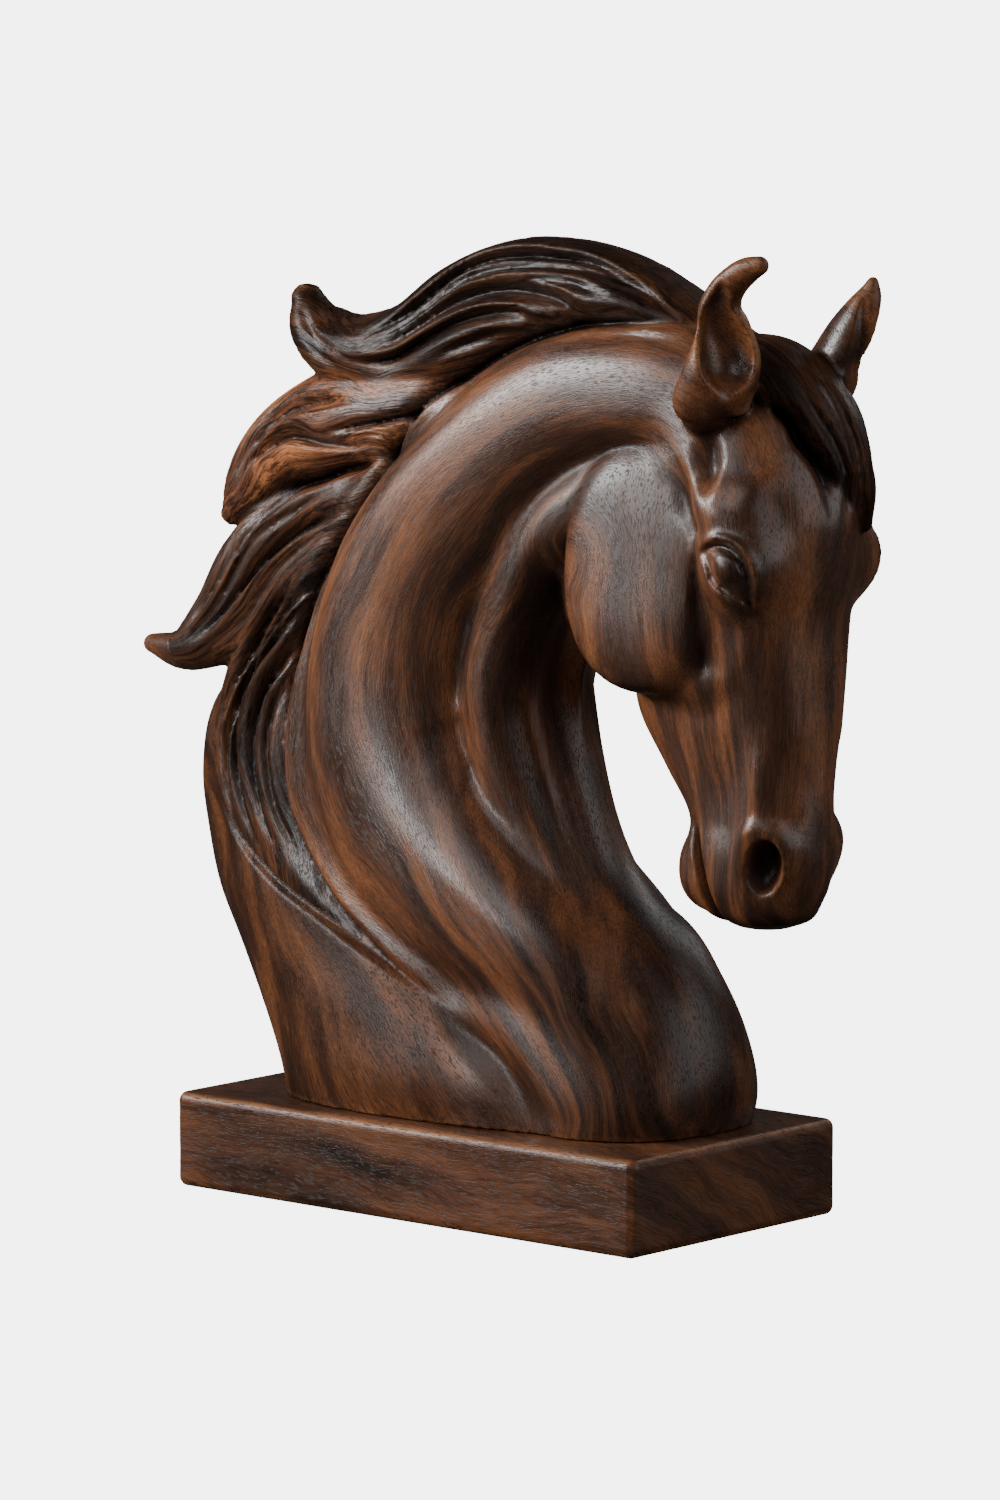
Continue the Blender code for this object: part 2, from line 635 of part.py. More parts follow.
def surface_of(carving):
    """Points and four-sided faces of the zero surface of the carving."""
    field = carving.field
    inside = field < 0
    code = carving.corner_codes()
    crossed = (code > 0) & (code < 2 ** len(CORNERS) - 1)
    cells = np.argwhere(crossed)
    number = np.full(crossed.shape, -1, np.int64)
    number[crossed] = np.arange(len(cells))
    values = {c: field[tuple((cells + c).T)].astype(float) for c in CORNERS}
    total = np.zeros((len(cells), 3))
    hits = np.zeros(len(cells))
    for corner in CORNERS:
        for axis in range(3):
            if corner[axis]:
                continue
            other = tuple(1 if i == axis else v for i, v in enumerate(corner))
            first, second = values[corner], values[other]
            hit = (first < 0) != (second < 0)
            point = np.tile(np.array(corner, float), (len(cells), 1))
            point[:, axis] = np.where(hit, first / np.where(hit, first - second, 1), 0)
            total += np.where(hit[:, None], point, 0)
            hits += hit
    origin = np.array([axis[0] for axis in carving.axes])
    points = (cells + total / hits[:, None]) * GRID_STEP + origin
    faces = []
    for axis in range(3):
        second, third = (axis + 1) % 3, (axis + 2) % 3
        low = inside[tuple(slice(0, -1) if i == axis else slice(1, -1) for i in range(3))]
        high = inside[tuple(slice(1, None) if i == axis else slice(1, -1) for i in range(3))]
        base = np.argwhere(low != high)
        outward = ~low[tuple(base.T)]
        base = base + np.array([0 if i == axis else 1 for i in range(3)])
        ring = []
        for back_second, back_third in ((0, 0), (1, 0), (1, 1), (0, 1)):
            cell = base.copy()
            cell[:, second] -= back_second
            cell[:, third] -= back_third
            ring.append(number[tuple(cell.T)])
        quads = np.stack(ring, axis=1)
        quads[outward] = quads[outward][:, ::-1]
        faces.append(quads)
    return points, np.concatenate(faces)


def largest_body(points, faces):
    """Keeps the faces of the biggest connected surface."""
    label = np.arange(len(points))
    while True:
        lowest = label[faces].min(axis=1)
        new = label.copy()
        np.minimum.at(new, faces, lowest[:, None])
        new = new[new]
        if (new == label).all():
            break
        label = new
    names, sizes = np.unique(label[faces[:, 0]], return_counts=True)
    kept = faces[label[faces[:, 0]] == names[np.argmax(sizes)]]
    used, renumbered = np.unique(kept, return_inverse=True)
    return points[used], renumbered.reshape(kept.shape)


def carve_bust():
    """The whole bust as one block of distances."""
    carving = Carving()
    carving.add(Levels(CLOAK_LEVELS), LEVEL_BLENDS["cloak"])
    carving.add(Levels(CHEST_LEVELS), LEVEL_BLENDS["chest"])
    for table, blend in ROLLS:
        carving.add(Roll(table), blend)
    carving.add(Levels(HEAD_LEVELS), LEVEL_BLENDS["head"])
    for side in (-1, 1):
        jowl_turn = turning(about_z=-side * JOWL_TURN)
        jowl = Round(mirrored(JOWL_CENTRE, side), JOWL_RADII, jowl_turn, *JOWL_FULLNESS)
        carving.add(jowl, JOWL_BLEND)
        for centre, radii, turn, blend in HEAD_ROUNDS:
            carving.add(Round(mirrored(centre, side), radii, turning(turn)), blend)
    carving.add(Round(CHIN_CENTRE, CHIN_RADII, turning()), CHIN_BLEND)
    for ear, hollow, facing in (
        (NEAR_EAR, NEAR_EAR_HOLLOW, NEAR_EAR_FACING),
        (FAR_EAR, FAR_EAR_HOLLOW, FAR_EAR_FACING),
    ):
        carving.add(Lock(ear, facing), EAR_BLEND)
        carving.cut(Lock(hollow, facing), EAR_RIM)
    for table, power, blend in LOCKS:
        carving.add(Lock(table, power=power), blend)
        if table is CROWN_LOCK:
            scoop = Round(CROWN_SCOOP_CENTRE, CROWN_SCOOP_RADII, turning(CROWN_SCOOP_TURN))
            carving.cut(scoop, CROWN_SCOOP_RIM)
    carving.add(Lock(FORELOCK, FORELOCK_FACING), FORELOCK_BLEND)
    for side in (-1, 1):
        carving.add(Round(mirrored(EYEBALL_CENTRE, side), EYEBALL_RADII, turning()), EYEBALL_BLEND)
        nostril_turn = turning(NOSTRIL_TURNS[0], -side * NOSTRIL_TURNS[1])
        nostril = Round(mirrored(NOSTRIL_CENTRE, side), NOSTRIL_RADII, nostril_turn)
        carving.cut(nostril, NOSTRIL_RIM)
    for kind, tables in (("lip", LIPS), ("soft", SOFT_LINES), ("sharp", SHARP_GROOVES)):
        finest = GRID_STEP * FINEST_LINES[kind]
        for table in tables:
            carving.engrave(Line(table, kind, finest))
    carving.sand(SANDING_PASSES)
    carving.saw_base()
    carving.close_pinches()
    return carving


def finish(name, colour, roughness):
    """Plain wood finish of one piece."""
    material = bpy.data.materials.new(name)
    material.use_nodes = True
    shader = material.node_tree.nodes["Principled BSDF"]
    shader.inputs["Base Color"].default_value = colour
    shader.inputs["Roughness"].default_value = roughness
    shader.inputs["Metallic"].default_value = 0.0
    return material


def linked(name, mesh, material):
    piece = bpy.data.objects.new(name, mesh)
    bpy.context.scene.collection.objects.link(piece)
    mesh.materials.append(material)
    return piece


def build_bust():
    points, faces = surface_of(carve_bust())
    points, faces = largest_body(points, faces)
    points *= BUST_HEIGHT / np.ptp(points[:, 2])
    points[:, 2] += PLINTH_HEIGHT + SEAT_GAP - points[:, 2].min()
    mesh = bpy.data.meshes.new("horse_head")
    mesh.from_pydata(points.tolist(), [], faces.tolist())
    bust = linked("horse_head", mesh, finish("bust_wood", BUST_COLOUR, BUST_ROUGHNESS))
    facets = bust.modifiers.new("Facets", "DECIMATE")
    facets.ratio = BUST_TRIANGLES / (2 * len(faces))
    return bust


def build_plinth():
    half_length, half_width = PLINTH_LENGTH / 2, PLINTH_WIDTH / 2
    outline = ((-1, -1), (1, -1), (1, 1), (-1, 1))
    points = [(x * half_length, y * half_width, z) for z in (0, PLINTH_HEIGHT) for x, y in outline]
    faces = [(3, 2, 1, 0), (4, 5, 6, 7)]
    faces += [(i, (i + 1) % 4, (i + 1) % 4 + 4, i + 4) for i in range(4)]
    mesh = bpy.data.meshes.new("plinth")
    mesh.from_pydata(points, [], faces)
    plinth = linked("plinth", mesh, finish("plinth_wood", PLINTH_COLOUR, PLINTH_ROUGHNESS))
    edges = plinth.modifiers.new("Rounded edges", "BEVEL")
    edges.width = PLINTH_EDGE_RADIUS
    edges.segments = PLINTH_EDGE_SEGMENTS
    return plinth


def clear_scene():
    for item in list(bpy.data.objects):
        bpy.data.objects.remove(item, do_unlink=True)


def main():
    clear_scene()
    build_plinth()
    build_bust()


main()
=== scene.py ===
"""Studio scene of a carved wooden horse head bust on a rounded rectangular plinth.

The bust is carved as one block of distances, laid out in steps of about a
millimetre above the top of the plinth. +X is the side the horse looks to,
-Y its near side. Wood follows the flow of neck, face and mane.
"""

import logging
from dataclasses import dataclass
from enum import Enum

import bpy
import numpy as np
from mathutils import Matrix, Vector


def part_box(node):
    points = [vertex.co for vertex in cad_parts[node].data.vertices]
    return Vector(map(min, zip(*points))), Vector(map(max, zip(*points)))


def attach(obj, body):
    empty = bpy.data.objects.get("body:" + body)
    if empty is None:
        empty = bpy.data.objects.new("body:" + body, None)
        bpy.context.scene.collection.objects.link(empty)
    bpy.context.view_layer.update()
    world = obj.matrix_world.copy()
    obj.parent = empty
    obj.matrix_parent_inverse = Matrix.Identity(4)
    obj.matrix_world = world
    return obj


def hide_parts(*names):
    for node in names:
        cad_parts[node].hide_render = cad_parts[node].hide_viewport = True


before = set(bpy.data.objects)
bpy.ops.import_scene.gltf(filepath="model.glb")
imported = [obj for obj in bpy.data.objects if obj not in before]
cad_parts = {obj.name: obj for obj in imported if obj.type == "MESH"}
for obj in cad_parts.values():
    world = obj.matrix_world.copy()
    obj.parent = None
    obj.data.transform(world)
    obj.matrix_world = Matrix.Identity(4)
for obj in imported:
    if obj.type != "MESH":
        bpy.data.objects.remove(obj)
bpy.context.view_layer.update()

log = logging.getLogger("horse head sculpture")

Array = np.ndarray
Triple = tuple[float, float, float]
Table = tuple[tuple[float, ...], ...]
Socket = bpy.types.NodeSocket

# Degrees the camera stands round from the near side, and above the level view
CAMERA_AZIMUTH, CAMERA_ELEVATION = 40.8, 7.5

# Level sections: height, centre, reach forward, reach back, half width,
# fullness forward, fullness back, turn of the section
CLOAK_LEVELS: Table = (
    (-8, 8, 88, 96, 49, 2.3, 2.5, 0.10),
    (12, 8, 88, 101, 50, 2.2, 2.5, 0.09),
    (34, 0, 88, 106, 46.5, 2.1, 2.5, 0.07),
    (56, -12, 78, 109, 41, 2.1, 2.6, 0.05),
    (76, -22, 62, 113, 37, 2.0, 2.7, 0.03),
    (96, -32, 54, 113.5, 34.5, 2.0, 2.6, 0.0),
    (120, -38, 54, 113, 34, 2.0, 2.3, 0.0),
    (146, -36, 56, 110, 33, 2.0, 2.1, 0.0),
    (170, -42, 52, 80.5, 31, 2.0, 2.0, 0.0),
    (190, -44, 40, 50, 26, 2.0, 2.0, 0.0),
    (200, -40, 20, 30, 14, 2.0, 2.0, 0.0),
)
CHEST_LEVELS: Table = (
    (-8, 60, 41, 40, 44, 2.6, 2.2, 0.10),
    (12, 58, 49, 42, 45, 2.5, 2.2, 0.10),
    (34, 48, 57, 46, 43, 2.3, 2.2, 0.10),
    (56, 32, 64, 46, 40, 2.2, 2.2, 0.08),
    (76, 20, 59, 52, 36, 2.4, 2.1, 0.06),
    (95, 4, 45, 44, 28, 2.2, 2.0, 0.0),
    (112, -10, 36, 30, 18, 2.0, 2.0, 0.0),
)
HEAD_LEVELS: Table = (
    (82, 130, 8, 10, 8, 2, 2, 0),
    (85, 129, 18, 20, 14, 2, 2, 0),
    (93, 127, 25, 29, 18.5, 2.3, 2.2, 0),
    (106, 126, 30, 32, 20, 2.4, 2.2, 0),
    (122, 126, 31, 28, 19.5, 2.8, 2.2, 0),
    (140, 125, 32, 40, 21, 3.0, 2.0, 0),
    (160, 124, 33, 52, 24, 3.0, 2.0, 0),
    (176, 124, 33, 54, 28, 2.8, 2.0, 0),
    (200, 123, 35, 48, 33, 2.5, 2.2, 0),
    (220, 122, 40, 48, 36, 2.3, 2.2, 0),
    (240, 121, 43, 46, 35, 2.2, 2.2, 0),
    (262, 117, 39, 40, 33, 2.1, 2.1, 0),
    (278, 114, 30, 34, 29, 2.0, 2.0, 0),
    (289, 110, 21, 22, 20, 2.0, 2.0, 0),
    (295, 108, 6, 6, 6, 2.0, 2.0, 0),
)

# Muscle rolls: x, z, reach forward, reach back, half width, fullness forward, fullness back
NECK_ROLL: Table = (
    (88, -26, 18, 26, 34, 2.0, 2.4),
    (77, 16, 20, 34, 38, 2.0, 2.3),
    (53, 62, 22, 44, 42.5, 2.0, 2.4),
    (20, 85, 27, 49, 46.5, 2.1, 2.4),
    (-20, 109, 43, 46, 47, 2.1, 2.4),
    (-41, 134, 52, 38, 46, 2.1, 2.4),
    (-47, 166, 52, 32, 44.5, 2.2, 2.3),
    (-35, 208, 50, 28, 42.5, 2.3, 2.4),
    (4, 247, 40, 29, 40, 2.2, 2.6),
    (47, 271, 29, 32, 37, 2.1, 2.6),
    (92, 277, 22, 29, 34, 2.1, 2.8),
    (125, 274, 20, 26, 28, 2.0, 2.6),
)
THROAT_ROLL: Table = (
    (84, 20, 12, 16, 11, 2.0, 2.0),
    (74, 48, 13, 18, 15, 2.0, 2.0),
    (60, 72, 13, 20, 18, 2.0, 2.0),
    (44, 93, 13, 21, 23, 2.0, 2.0),
    (29, 115, 13, 21, 27, 2.0, 2.1),
    (19, 138, 14, 20, 30, 2.0, 2.2),
    (14.5, 162, 15, 19.5, 32, 2.0, 2.2),
    (23, 192, 17, 20, 33, 2.0, 2.2),
    (42, 223, 18, 19, 33, 2.0, 2.2),
    (70, 245, 18, 16, 32, 2.0, 2.2),
    (104, 253, 18, 12, 30, 2.0, 2.2),
)
WINDPIPE: Table = (
    (78, 48, 8, 16, 15, 2.0, 2.0),
    (66, 72, 9, 16, 16, 2.0, 2.0),
    (52, 96, 7, 16, 15, 2.0, 2.0),
    (40.5, 122, 7, 16, 15, 2.0, 2.0),
    (32, 150, 8, 16, 16, 2.0, 2.0),
    (32, 176, 10, 16, 18, 2.0, 2.0),
    (46, 204, 14, 16, 22, 2.0, 2.0),
    (66, 226, 16, 16, 24, 2.0, 2.0),
)

# Ears: x, y, z, half breadth, half thickness
NEAR_EAR: Table = (
    (125, -30, 276, 10, 7),
    (126.5, -31.5, 280, 13.6, 9),
    (130, -31.5, 286, 14.6, 10.5),
    (134, -31, 297, 14, 10.5),
    (133.5, -31, 308, 10.5, 8.5),
    (132, -31, 315.5, 8.3, 7),
    (134, -31, 321, 7, 6),
    (138.5, -31, 326, 6, 5.2),
    (144.5, -31, 330, 5.2, 4.4),
    (151, -31, 332.4, 3.6, 3.2),
)
NEAR_EAR_HOLLOW: Table = (
    (142.2, -37.2, 286, 5, 5),
    (141.7, -36.7, 292, 9.6, 11),
    (140.8, -36.7, 300.3, 10.6, 13),
    (138.6, -38.2, 309.1, 8.2, 12),
    (137.7, -38.2, 316, 5.2, 9),
    (137.6, -37, 321.1, 2.8, 5.5),
    (137.4, -36.7, 325, 1, 2),
)
FAR_EAR: Table = (
    (122, 27, 268, 14, 10),
    (128, 30, 279, 17, 11),
    (136, 31, 289, 17, 11),
    (142.5, 31, 299.5, 14.5, 10),
    (149, 31, 310, 10, 8),
    (153, 31, 318, 5.5, 5),
    (154.5, 31, 323, 2.4, 2.4),
)
FAR_EAR_HOLLOW: Table = (
    (143, 38, 284, 6, 5),
    (147, 38, 292, 9, 8),
    (152, 38, 301, 8, 8),
    (156, 37, 310, 5, 5),
    (158, 36, 317, 2, 3),
)
NEAR_EAR_FACING: Triple = (0.84, -0.52, 0.12)
FAR_EAR_FACING: Triple = (0.84, 0.52, 0.12)

# Mane and forelock: x, y, z, half breadth, half thickness
CROWN_LOCK: Table = (
    (112, 0, 297, 8, 20),
    (88, 0, 306, 13, 23),
    (58, 0, 311, 21.5, 24),
    (20, 0, 307, 29, 24),
    (-16, 0, 297, 28, 24),
    (-46, -3, 289, 18, 21),
    (-74, -5, 288, 14.5, 17),
    (-90, -6, 297, 11, 12),
    (-96, -5, 307, 6, 7),
)
MIDDLE_LOCK: Table = (
    (20, 0, 264, 16, 24),
    (-20, 0, 266, 24, 25),
    (-55, -2, 261, 26, 23),
    (-84, -4, 255, 24, 19),
    (-108, -6, 246, 18, 14),
    (-124, -7, 233, 12, 10),
    (-134, -7, 221, 5, 5),
)
LOW_LOCK: Table = (
    (-20, 0, 230, 18, 24),
    (-60, 0, 226, 25, 24),
    (-92, -4, 211, 28, 20),
    (-116, -8, 193, 26, 16),
    (-137, -11, 176, 16, 12),
    (-155, -13, 166, 8.5, 8),
    (-172, -13, 167, 4, 4),
)
NAPE: Table = (
    (-40, 0, 240, 20, 26),
    (-75, 0, 200, 26, 27),
    (-96, 0, 165, 34, 27),
    (-108, 0, 130, 35, 28),
    (-106, 0, 100, 31, 27),
)
FORELOCK: Table = (
    (108, -4, 295, 14, 8),
    (130, -2, 293, 18, 8),
    (147, 5, 281, 18, 8),
    (157, 11, 262, 15, 8),
    (159, 16, 246, 10, 7),
    (160, 20, 234, 3, 3),
)
FORELOCK_FACING: Triple = (0.7, -0.2, 0.7)

# Edges of muscles and strands in side view: x, z, lip, depth, ease
BORDER_LIPS: tuple[Table, ...] = (
    ((125, 306, 1.2, 1, 8), (97, 307, 1.2, 6, 10), (50, 303, 1.2, 8, 11), (10, 289, 1.2, 8, 11),
     (-25, 266, 1.2, 6, 10), (-50, 226, 1.2, 6, 10), (-72, 198, 1.2, 6, 10), (-84, 165, 1.2, 7, 12),
     (-87, 135, 1.2, 7, 13), (-82, 110, 1.2, 6.5, 12), (-60, 83, 1.2, 5, 10), (-20, 57, 1.2, 3, 8),
     (14, 42, 1.2, 1, 4)),
    ((12, 43, 1, 1, 4), (-26, 57, 1, 2.5, 7), (-60, 71, 1, 3.5, 9), (-90, 83, 1, 4, 11),
     (-117, 100, 1, 4, 12), (-130, 120, 1, 2, 10)),
)
STRAND_LIPS: tuple[Table, ...] = (
    ((-67, 288, 1, 2, 7), (-50, 286, 1, 5, 8), (-35, 289, 1, 6, 8), (-22, 296, 1, 6, 8),
     (-9, 302, 1, 6, 8), (7, 307, 1, 6, 8), (21, 309, 1, 5, 8), (31, 308, 1, 3.5, 7), (42, 301, 1, 1, 5)),
    ((-19, 288, 1, 2, 6), (-6, 294, 1, 5, 7), (5, 298, 1, 5, 8), (18, 301, 1, 4, 7), (28, 301, 1, 1, 5)),
    ((-52, 270, 1, 1, 5), (-65, 269, 1, 4, 7), (-79, 267, 1, 6, 9), (-91, 264, 1, 6.5, 10),
     (-103, 259, 1, 6.5, 9), (-111, 252, 1, 5.5, 8), (-118, 246, 1, 4.5, 6), (-123, 239, 1, 3.5, 4),
     (-129, 231, 1, 1.5, 3)),
    ((-37, 254, 1, 2, 4), (-52, 253, 1, 4, 5), (-64, 252, 1, 5, 6), (-75, 252, 1, 6, 7),
     (-84, 253, 1, 7, 9), (-93, 253, 1, 7, 9), (-101, 250, 1, 7, 9), (-111, 245, 1, 6, 7),
     (-119, 239, 1, 4, 5), (-124, 232, 1, 2.5, 4), (-130, 226, 1, 1, 3)),
    ((-41, 249, 1, 4, 12), (-53, 245, 1, 6, 13), (-66, 242, 1, 7, 13), (-79, 237, 1, 7, 13),
     (-92, 233, 1, 6.5, 12), (-100, 227, 1, 6, 11), (-109, 221, 1, 5.5, 10), (-116, 213, 1, 5, 9),
     (-123, 204, 1, 5, 9), (-129, 195, 1, 5, 8), (-136, 187, 1, 4, 7), (-145, 177, 1, 2.5, 5),
     (-155, 170, 1, 1, 3)),
    ((-56, 228, 1, 5, 14), (-73, 223, 1, 7, 15), (-86, 217, 1, 8, 15), (-97, 210, 1, 8, 14),
     (-106, 203, 1, 8, 13), (-113, 196, 1, 7.5, 12), (-121, 188, 1, 6.5, 10), (-128, 181, 1, 5, 8),
     (-139, 173, 1, 3, 6), (-152, 167, 1, 1.5, 3)),
    ((-76, 205, 1, 2, 6), (-90, 194, 1, 5, 7), (-104, 180, 1, 6, 7), (-115, 165, 1, 6, 6), (-124, 150, 1, 5, 5),
     (-130, 134, 1, 3.5, 5), (-131, 118, 1, 1.5, 4)),
    ((-73, 199, 1, 3, 7), (-85, 191, 1, 6, 8), (-98, 180, 1, 7.5, 8), (-107, 170, 1, 8, 8),
     (-115, 155, 1, 8, 7), (-121, 140, 1, 7.5, 6), (-122, 124, 1, 6, 5), (-118, 108, 1, 4, 4),
     (-108, 97, 1, 1, 3)),
    ((-79, 190, 1, 3, 6), (-92, 178, 1, 6, 7), (-103, 167, 1, 7.5, 7), (-114, 151, 1, 7.5, 6),
     (-116, 135, 1, 7, 5.5), (-112, 114, 1, 6, 5), (-102, 97, 1, 4, 4), (-92, 90, 1, 1, 3)),
    ((-85, 174, 1, 3, 5), (-91, 166, 1, 6, 6), (-101, 153, 1, 7, 6), (-105, 136, 1, 7, 5.5),
     (-103, 119, 1, 6.5, 5.5), (-97, 106, 1, 5, 5), (-86, 93, 1, 2, 4)),
    ((-89, 158, 1, 3, 4), (-94, 150, 1, 5.5, 5), (-97, 137, 1, 6, 5), (-95, 122, 1, 6, 5),
     (-90, 109, 1, 5, 4), (-80, 96, 1, 3, 4), (-69, 84, 1, 1, 3)),
)
# The same seen from above the shoulder: x, y, z, lip, depth, ease
CROWN_LIPS: tuple[Table, ...] = (
    ((-56, -22, 294, 1, 3, 7), (-41, -20, 303, 1, 6, 8), (-25, -19, 315, 1, 7, 9), (-9, -14, 327, 1, 7, 10),
     (18, -14, 333, 1, 7, 10), (34, -15, 333, 1, 7, 10), (49, -15, 332, 1, 6, 10), (61, -15, 329, 1, 5, 9),
     (86, -17, 319, 1, 4, 8), (104, -16, 307, 1, 1.5, 6)),
    ((-53, -23, 292, 1, 1, 4), (-41, -22, 298, 1, 3, 5), (-27, -21, 307, 1, 4, 6), (-4, -19, 322, 1, 4.5, 6),
     (11, -18, 326, 1, 4.5, 7), (26, -18, 328, 1, 4.5, 7), (44, -18, 328, 1, 4, 7), (62, -17, 326, 1, 3.5, 7),
     (77, -17, 321, 1, 3, 6), (96, -18, 309, 1, 1, 5)),
    ((-55, -23, 291, 1, 1, 5), (-42, -23, 294, 1, 4, 7), (-26, -22, 303, 1, 6, 8), (-12, -22, 312, 1, 7, 9),
     (0, -22, 317, 1, 7, 10), (13, -22, 320, 1, 7, 10), (24, -23, 321, 1, 7, 11), (35, -22, 319, 1, 6.5, 11),
     (47, -22, 316, 1, 5.5, 10), (57, -23, 312, 1, 4, 8), (65, -21, 308, 1, 1.5, 6)),
    ((2, -21, 319, 1, 1, 3), (17, -22, 322, 1, 2, 4), (33, -22, 323, 1, 3, 5), (47, -22, 323, 1, 3, 6),
     (62, -22, 320, 1, 2.5, 6), (74, -22, 316, 1, 1, 4)),
    ((-93, -12, 308, 1, 1, 3), (-88, -16, 302, 1, 2.5, 5), (-80, -19, 295, 1, 3, 5), (-69, -22, 291, 1, 2.5, 5),
     (-61, -22, 288, 1, 1, 4)),
    ((-92, -16, 301, 1, 0.6, 3), (-85, -20, 294, 1, 1.8, 4), (-75, -21, 288, 1, 2, 5),
     (-61, -22, 282, 1, 1.4, 5), (-45, -22, 279, 1, 0.5, 4)),
)
# Strands of the forelock seen from the camera's side, on this side alone
FORELOCK_LIPS: tuple[Table, ...] = (
    ((164, -4, 233, 1.2, 1.5, 7), (162, -6, 246, 1.2, 4, 8), (159, -7, 254, 1.2, 5, 9), (156, -9, 260, 1.2, 5.5, 9),
     (151, -11, 266, 1.2, 5.5, 9), (148, -11, 272, 1.2, 5, 9), (144, -14, 278, 1.2, 4, 8), (141, -16, 284, 1.2, 2, 7)),
    ((164, 0, 232, 1, 1, 4), (165, 3, 246, 1, 3, 5), (164, 2, 256, 1, 4, 6), (160, 0, 266, 1, 4, 6),
     (154, -3, 276, 1, 3.5, 6), (147, -5, 286, 1, 3, 6), (139, -6, 293, 1, 1, 5)),
    ((161, 13, 226, 1, 1, 4), (164, 12, 237, 1, 3, 5), (166, 9, 248, 1, 4, 6), (165, 8, 260, 1, 4, 6),
     (162, 6, 271, 1, 4, 6), (156, 5, 282, 1, 3.5, 6), (148, 3, 291, 1, 3, 6), (139, 1, 298, 1, 1, 5)),
    ((162, 18, 236, 1, 1, 4), (165, 17, 250, 1, 3, 5), (165, 16, 262, 1, 3, 5), (161, 14, 275, 1, 3, 5),
     (153, 12, 287, 1, 2.5, 5), (143, 9, 296, 1, 1, 4)),
)

# Grooves (positive) and ridges (negative) in side view: x, z, half width, depth
SOFT_LINES: tuple[Table, ...] = (
    ((2, 43, 4, 0), (17, 35, 5, 2), (36, 25, 6, 3.2), (50, 10, 7, 3), (57, -4, 8, 2.4)),
    ((109, 266, 7, -0.6), (116, 261, 7.5, -1.3), (123, 255, 7.4, -1.6), (129, 248, 7, -1.6), (134, 241, 7, -1)),
    ((139, 272, 7, -0.7), (138, 265, 7.4, -1.4), (137, 257, 7.2, -1.5), (134, 250, 6.4, -1.2)),
    ((127, 269, 4, 0.8), (127, 263, 4.6, 3.2), (128.5, 256, 4.4, 4.4), (131, 250, 3.2, 3), (132, 246, 2.6, 1)),
    ((148, 258, 6, -1), (149, 251, 7, -2.4), (148, 245, 6, -1.2)),
    ((46, 218, 4, 1), (42, 204, 5.5, 5), (39.5, 188, 6, 8), (39, 172, 6, 8), (42, 157, 5, 6),
     (47, 143, 4.5, 4), (53, 128, 4, 1.5)),
    ((27, 174, 4, -0.3), (28, 164, 4.4, -0.8), (32, 152, 4.6, -1), (38, 140, 4.6, -0.8), (45, 128, 4.6, -0.3)),
    ((113, 261, 4, 0.6), (115, 252, 4.6, 2), (119, 243, 4.6, 2.8), (124, 235, 3.6, 2.4)),
    ((143, 197, 4, -0.2), (141, 189, 4, -0.6), (138, 182, 4, -0.6), (133, 176, 4, -0.4), (126, 173, 4, -0.1)),
    ((131, 205, 5, 0.6), (130, 194, 5, 1.6), (129, 184, 4.5, 1.4)),
    ((100, 166, 5, 0.6), (112, 166, 6, 1.4), (124, 167, 6, 1.4), (134, 172, 5, 0.8)),
    ((143, 154, 5, -0.8), (143, 143, 5.5, -3.0), (141.5, 132, 5.5, -3.2), (138, 121, 4.6, -1.4)),
    ((152, 150, 5, 1), (153, 138, 5, 2), (152, 128, 5, 1.5)),
    ((128, 148, 8, 0.6), (127, 136, 8, 1.8), (124, 124, 7, 1.2)),
)
# Front edge of the jowl in side view: x, z, lip, depth, ease
JOWL_LIPS: tuple[Table, ...] = (
    ((124, 176, 1.2, 0.8, 8), (122, 182, 1.2, 2, 11), (121.5, 190, 1.2, 2.4, 12), (122, 200, 1.2, 2.4, 12),
     (122.5, 210, 1.2, 2.4, 10), (123, 219, 1.2, 2.2, 8), (123.5, 227, 1.2, 1.8, 6), (121, 237, 1.2, 0.8, 5)),
)
# Rims of the nostril in side view: x, z, half width, depth
RIM_LINES: tuple[Table, ...] = (
    ((148, 123, 3, -0.8), (142, 122.5, 3.2, -1.5), (136, 119, 3.2, -1.7), (133, 111, 3.2, -1.6),
     (133.5, 101, 3.2, -1.5), (137, 94, 3.2, -1.3), (143, 90.5, 3.2, -0.8)),
    ((149, 121, 2.6, -0.4), (154.5, 116, 2.6, -0.8), (156, 108, 2.6, -0.9), (154, 99, 2.6, -0.7), (150, 93, 2.6, -0.3)),
)
# Eyelids and their creases seen from the camera's side: x, y, z, half width, depth
EYE_LINES: tuple[Table, ...] = (
    ((126, -37, 225, 1.4, -0.6), (129, -37, 228.4, 1.5, -1.6), (135, -39, 231.4, 1.6, -2), (141, -39, 231.6, 1.6, -2.2),
     (147.5, -38, 228.6, 1.6, -2.2), (152, -37, 222.8, 1.6, -2.2), (153.4, -36, 215, 1.5, -1.8),
     (152.4, -35, 206, 1.4, -0.6)),
    ((128, -37, 225.6, 1, 1), (130.6, -37, 227.2, 1, 2.2), (135, -38, 228.8, 1, 3), (141, -38, 228.6, 1, 3.2),
     (146.4, -38, 225.8, 1, 3.2), (150, -38, 221, 1, 3), (151, -37, 215, 1, 2.6), (150.6, -36, 208.6, 1.1, 2),
     (151, -35, 203, 1, 0.8)),
    ((128, -37, 225, 1.2, -0.4), (130.6, -38, 220.6, 1.4, -1.2), (134.4, -40, 215, 1.5, -1.6),
     (140.6, -39, 210.2, 1.5, -1.6), (146, -37, 207.6, 1.4, -1.2), (150, -35, 205.6, 1.2, -0.4)),
    ((130, -37, 225, 1, 1), (132.8, -38, 221, 1, 2), (137, -40, 216.2, 1, 2.2), (142.4, -39, 212.6, 1, 2.2),
     (147.4, -37, 210, 1, 2), (151, -35, 207.6, 1, 1)),
)
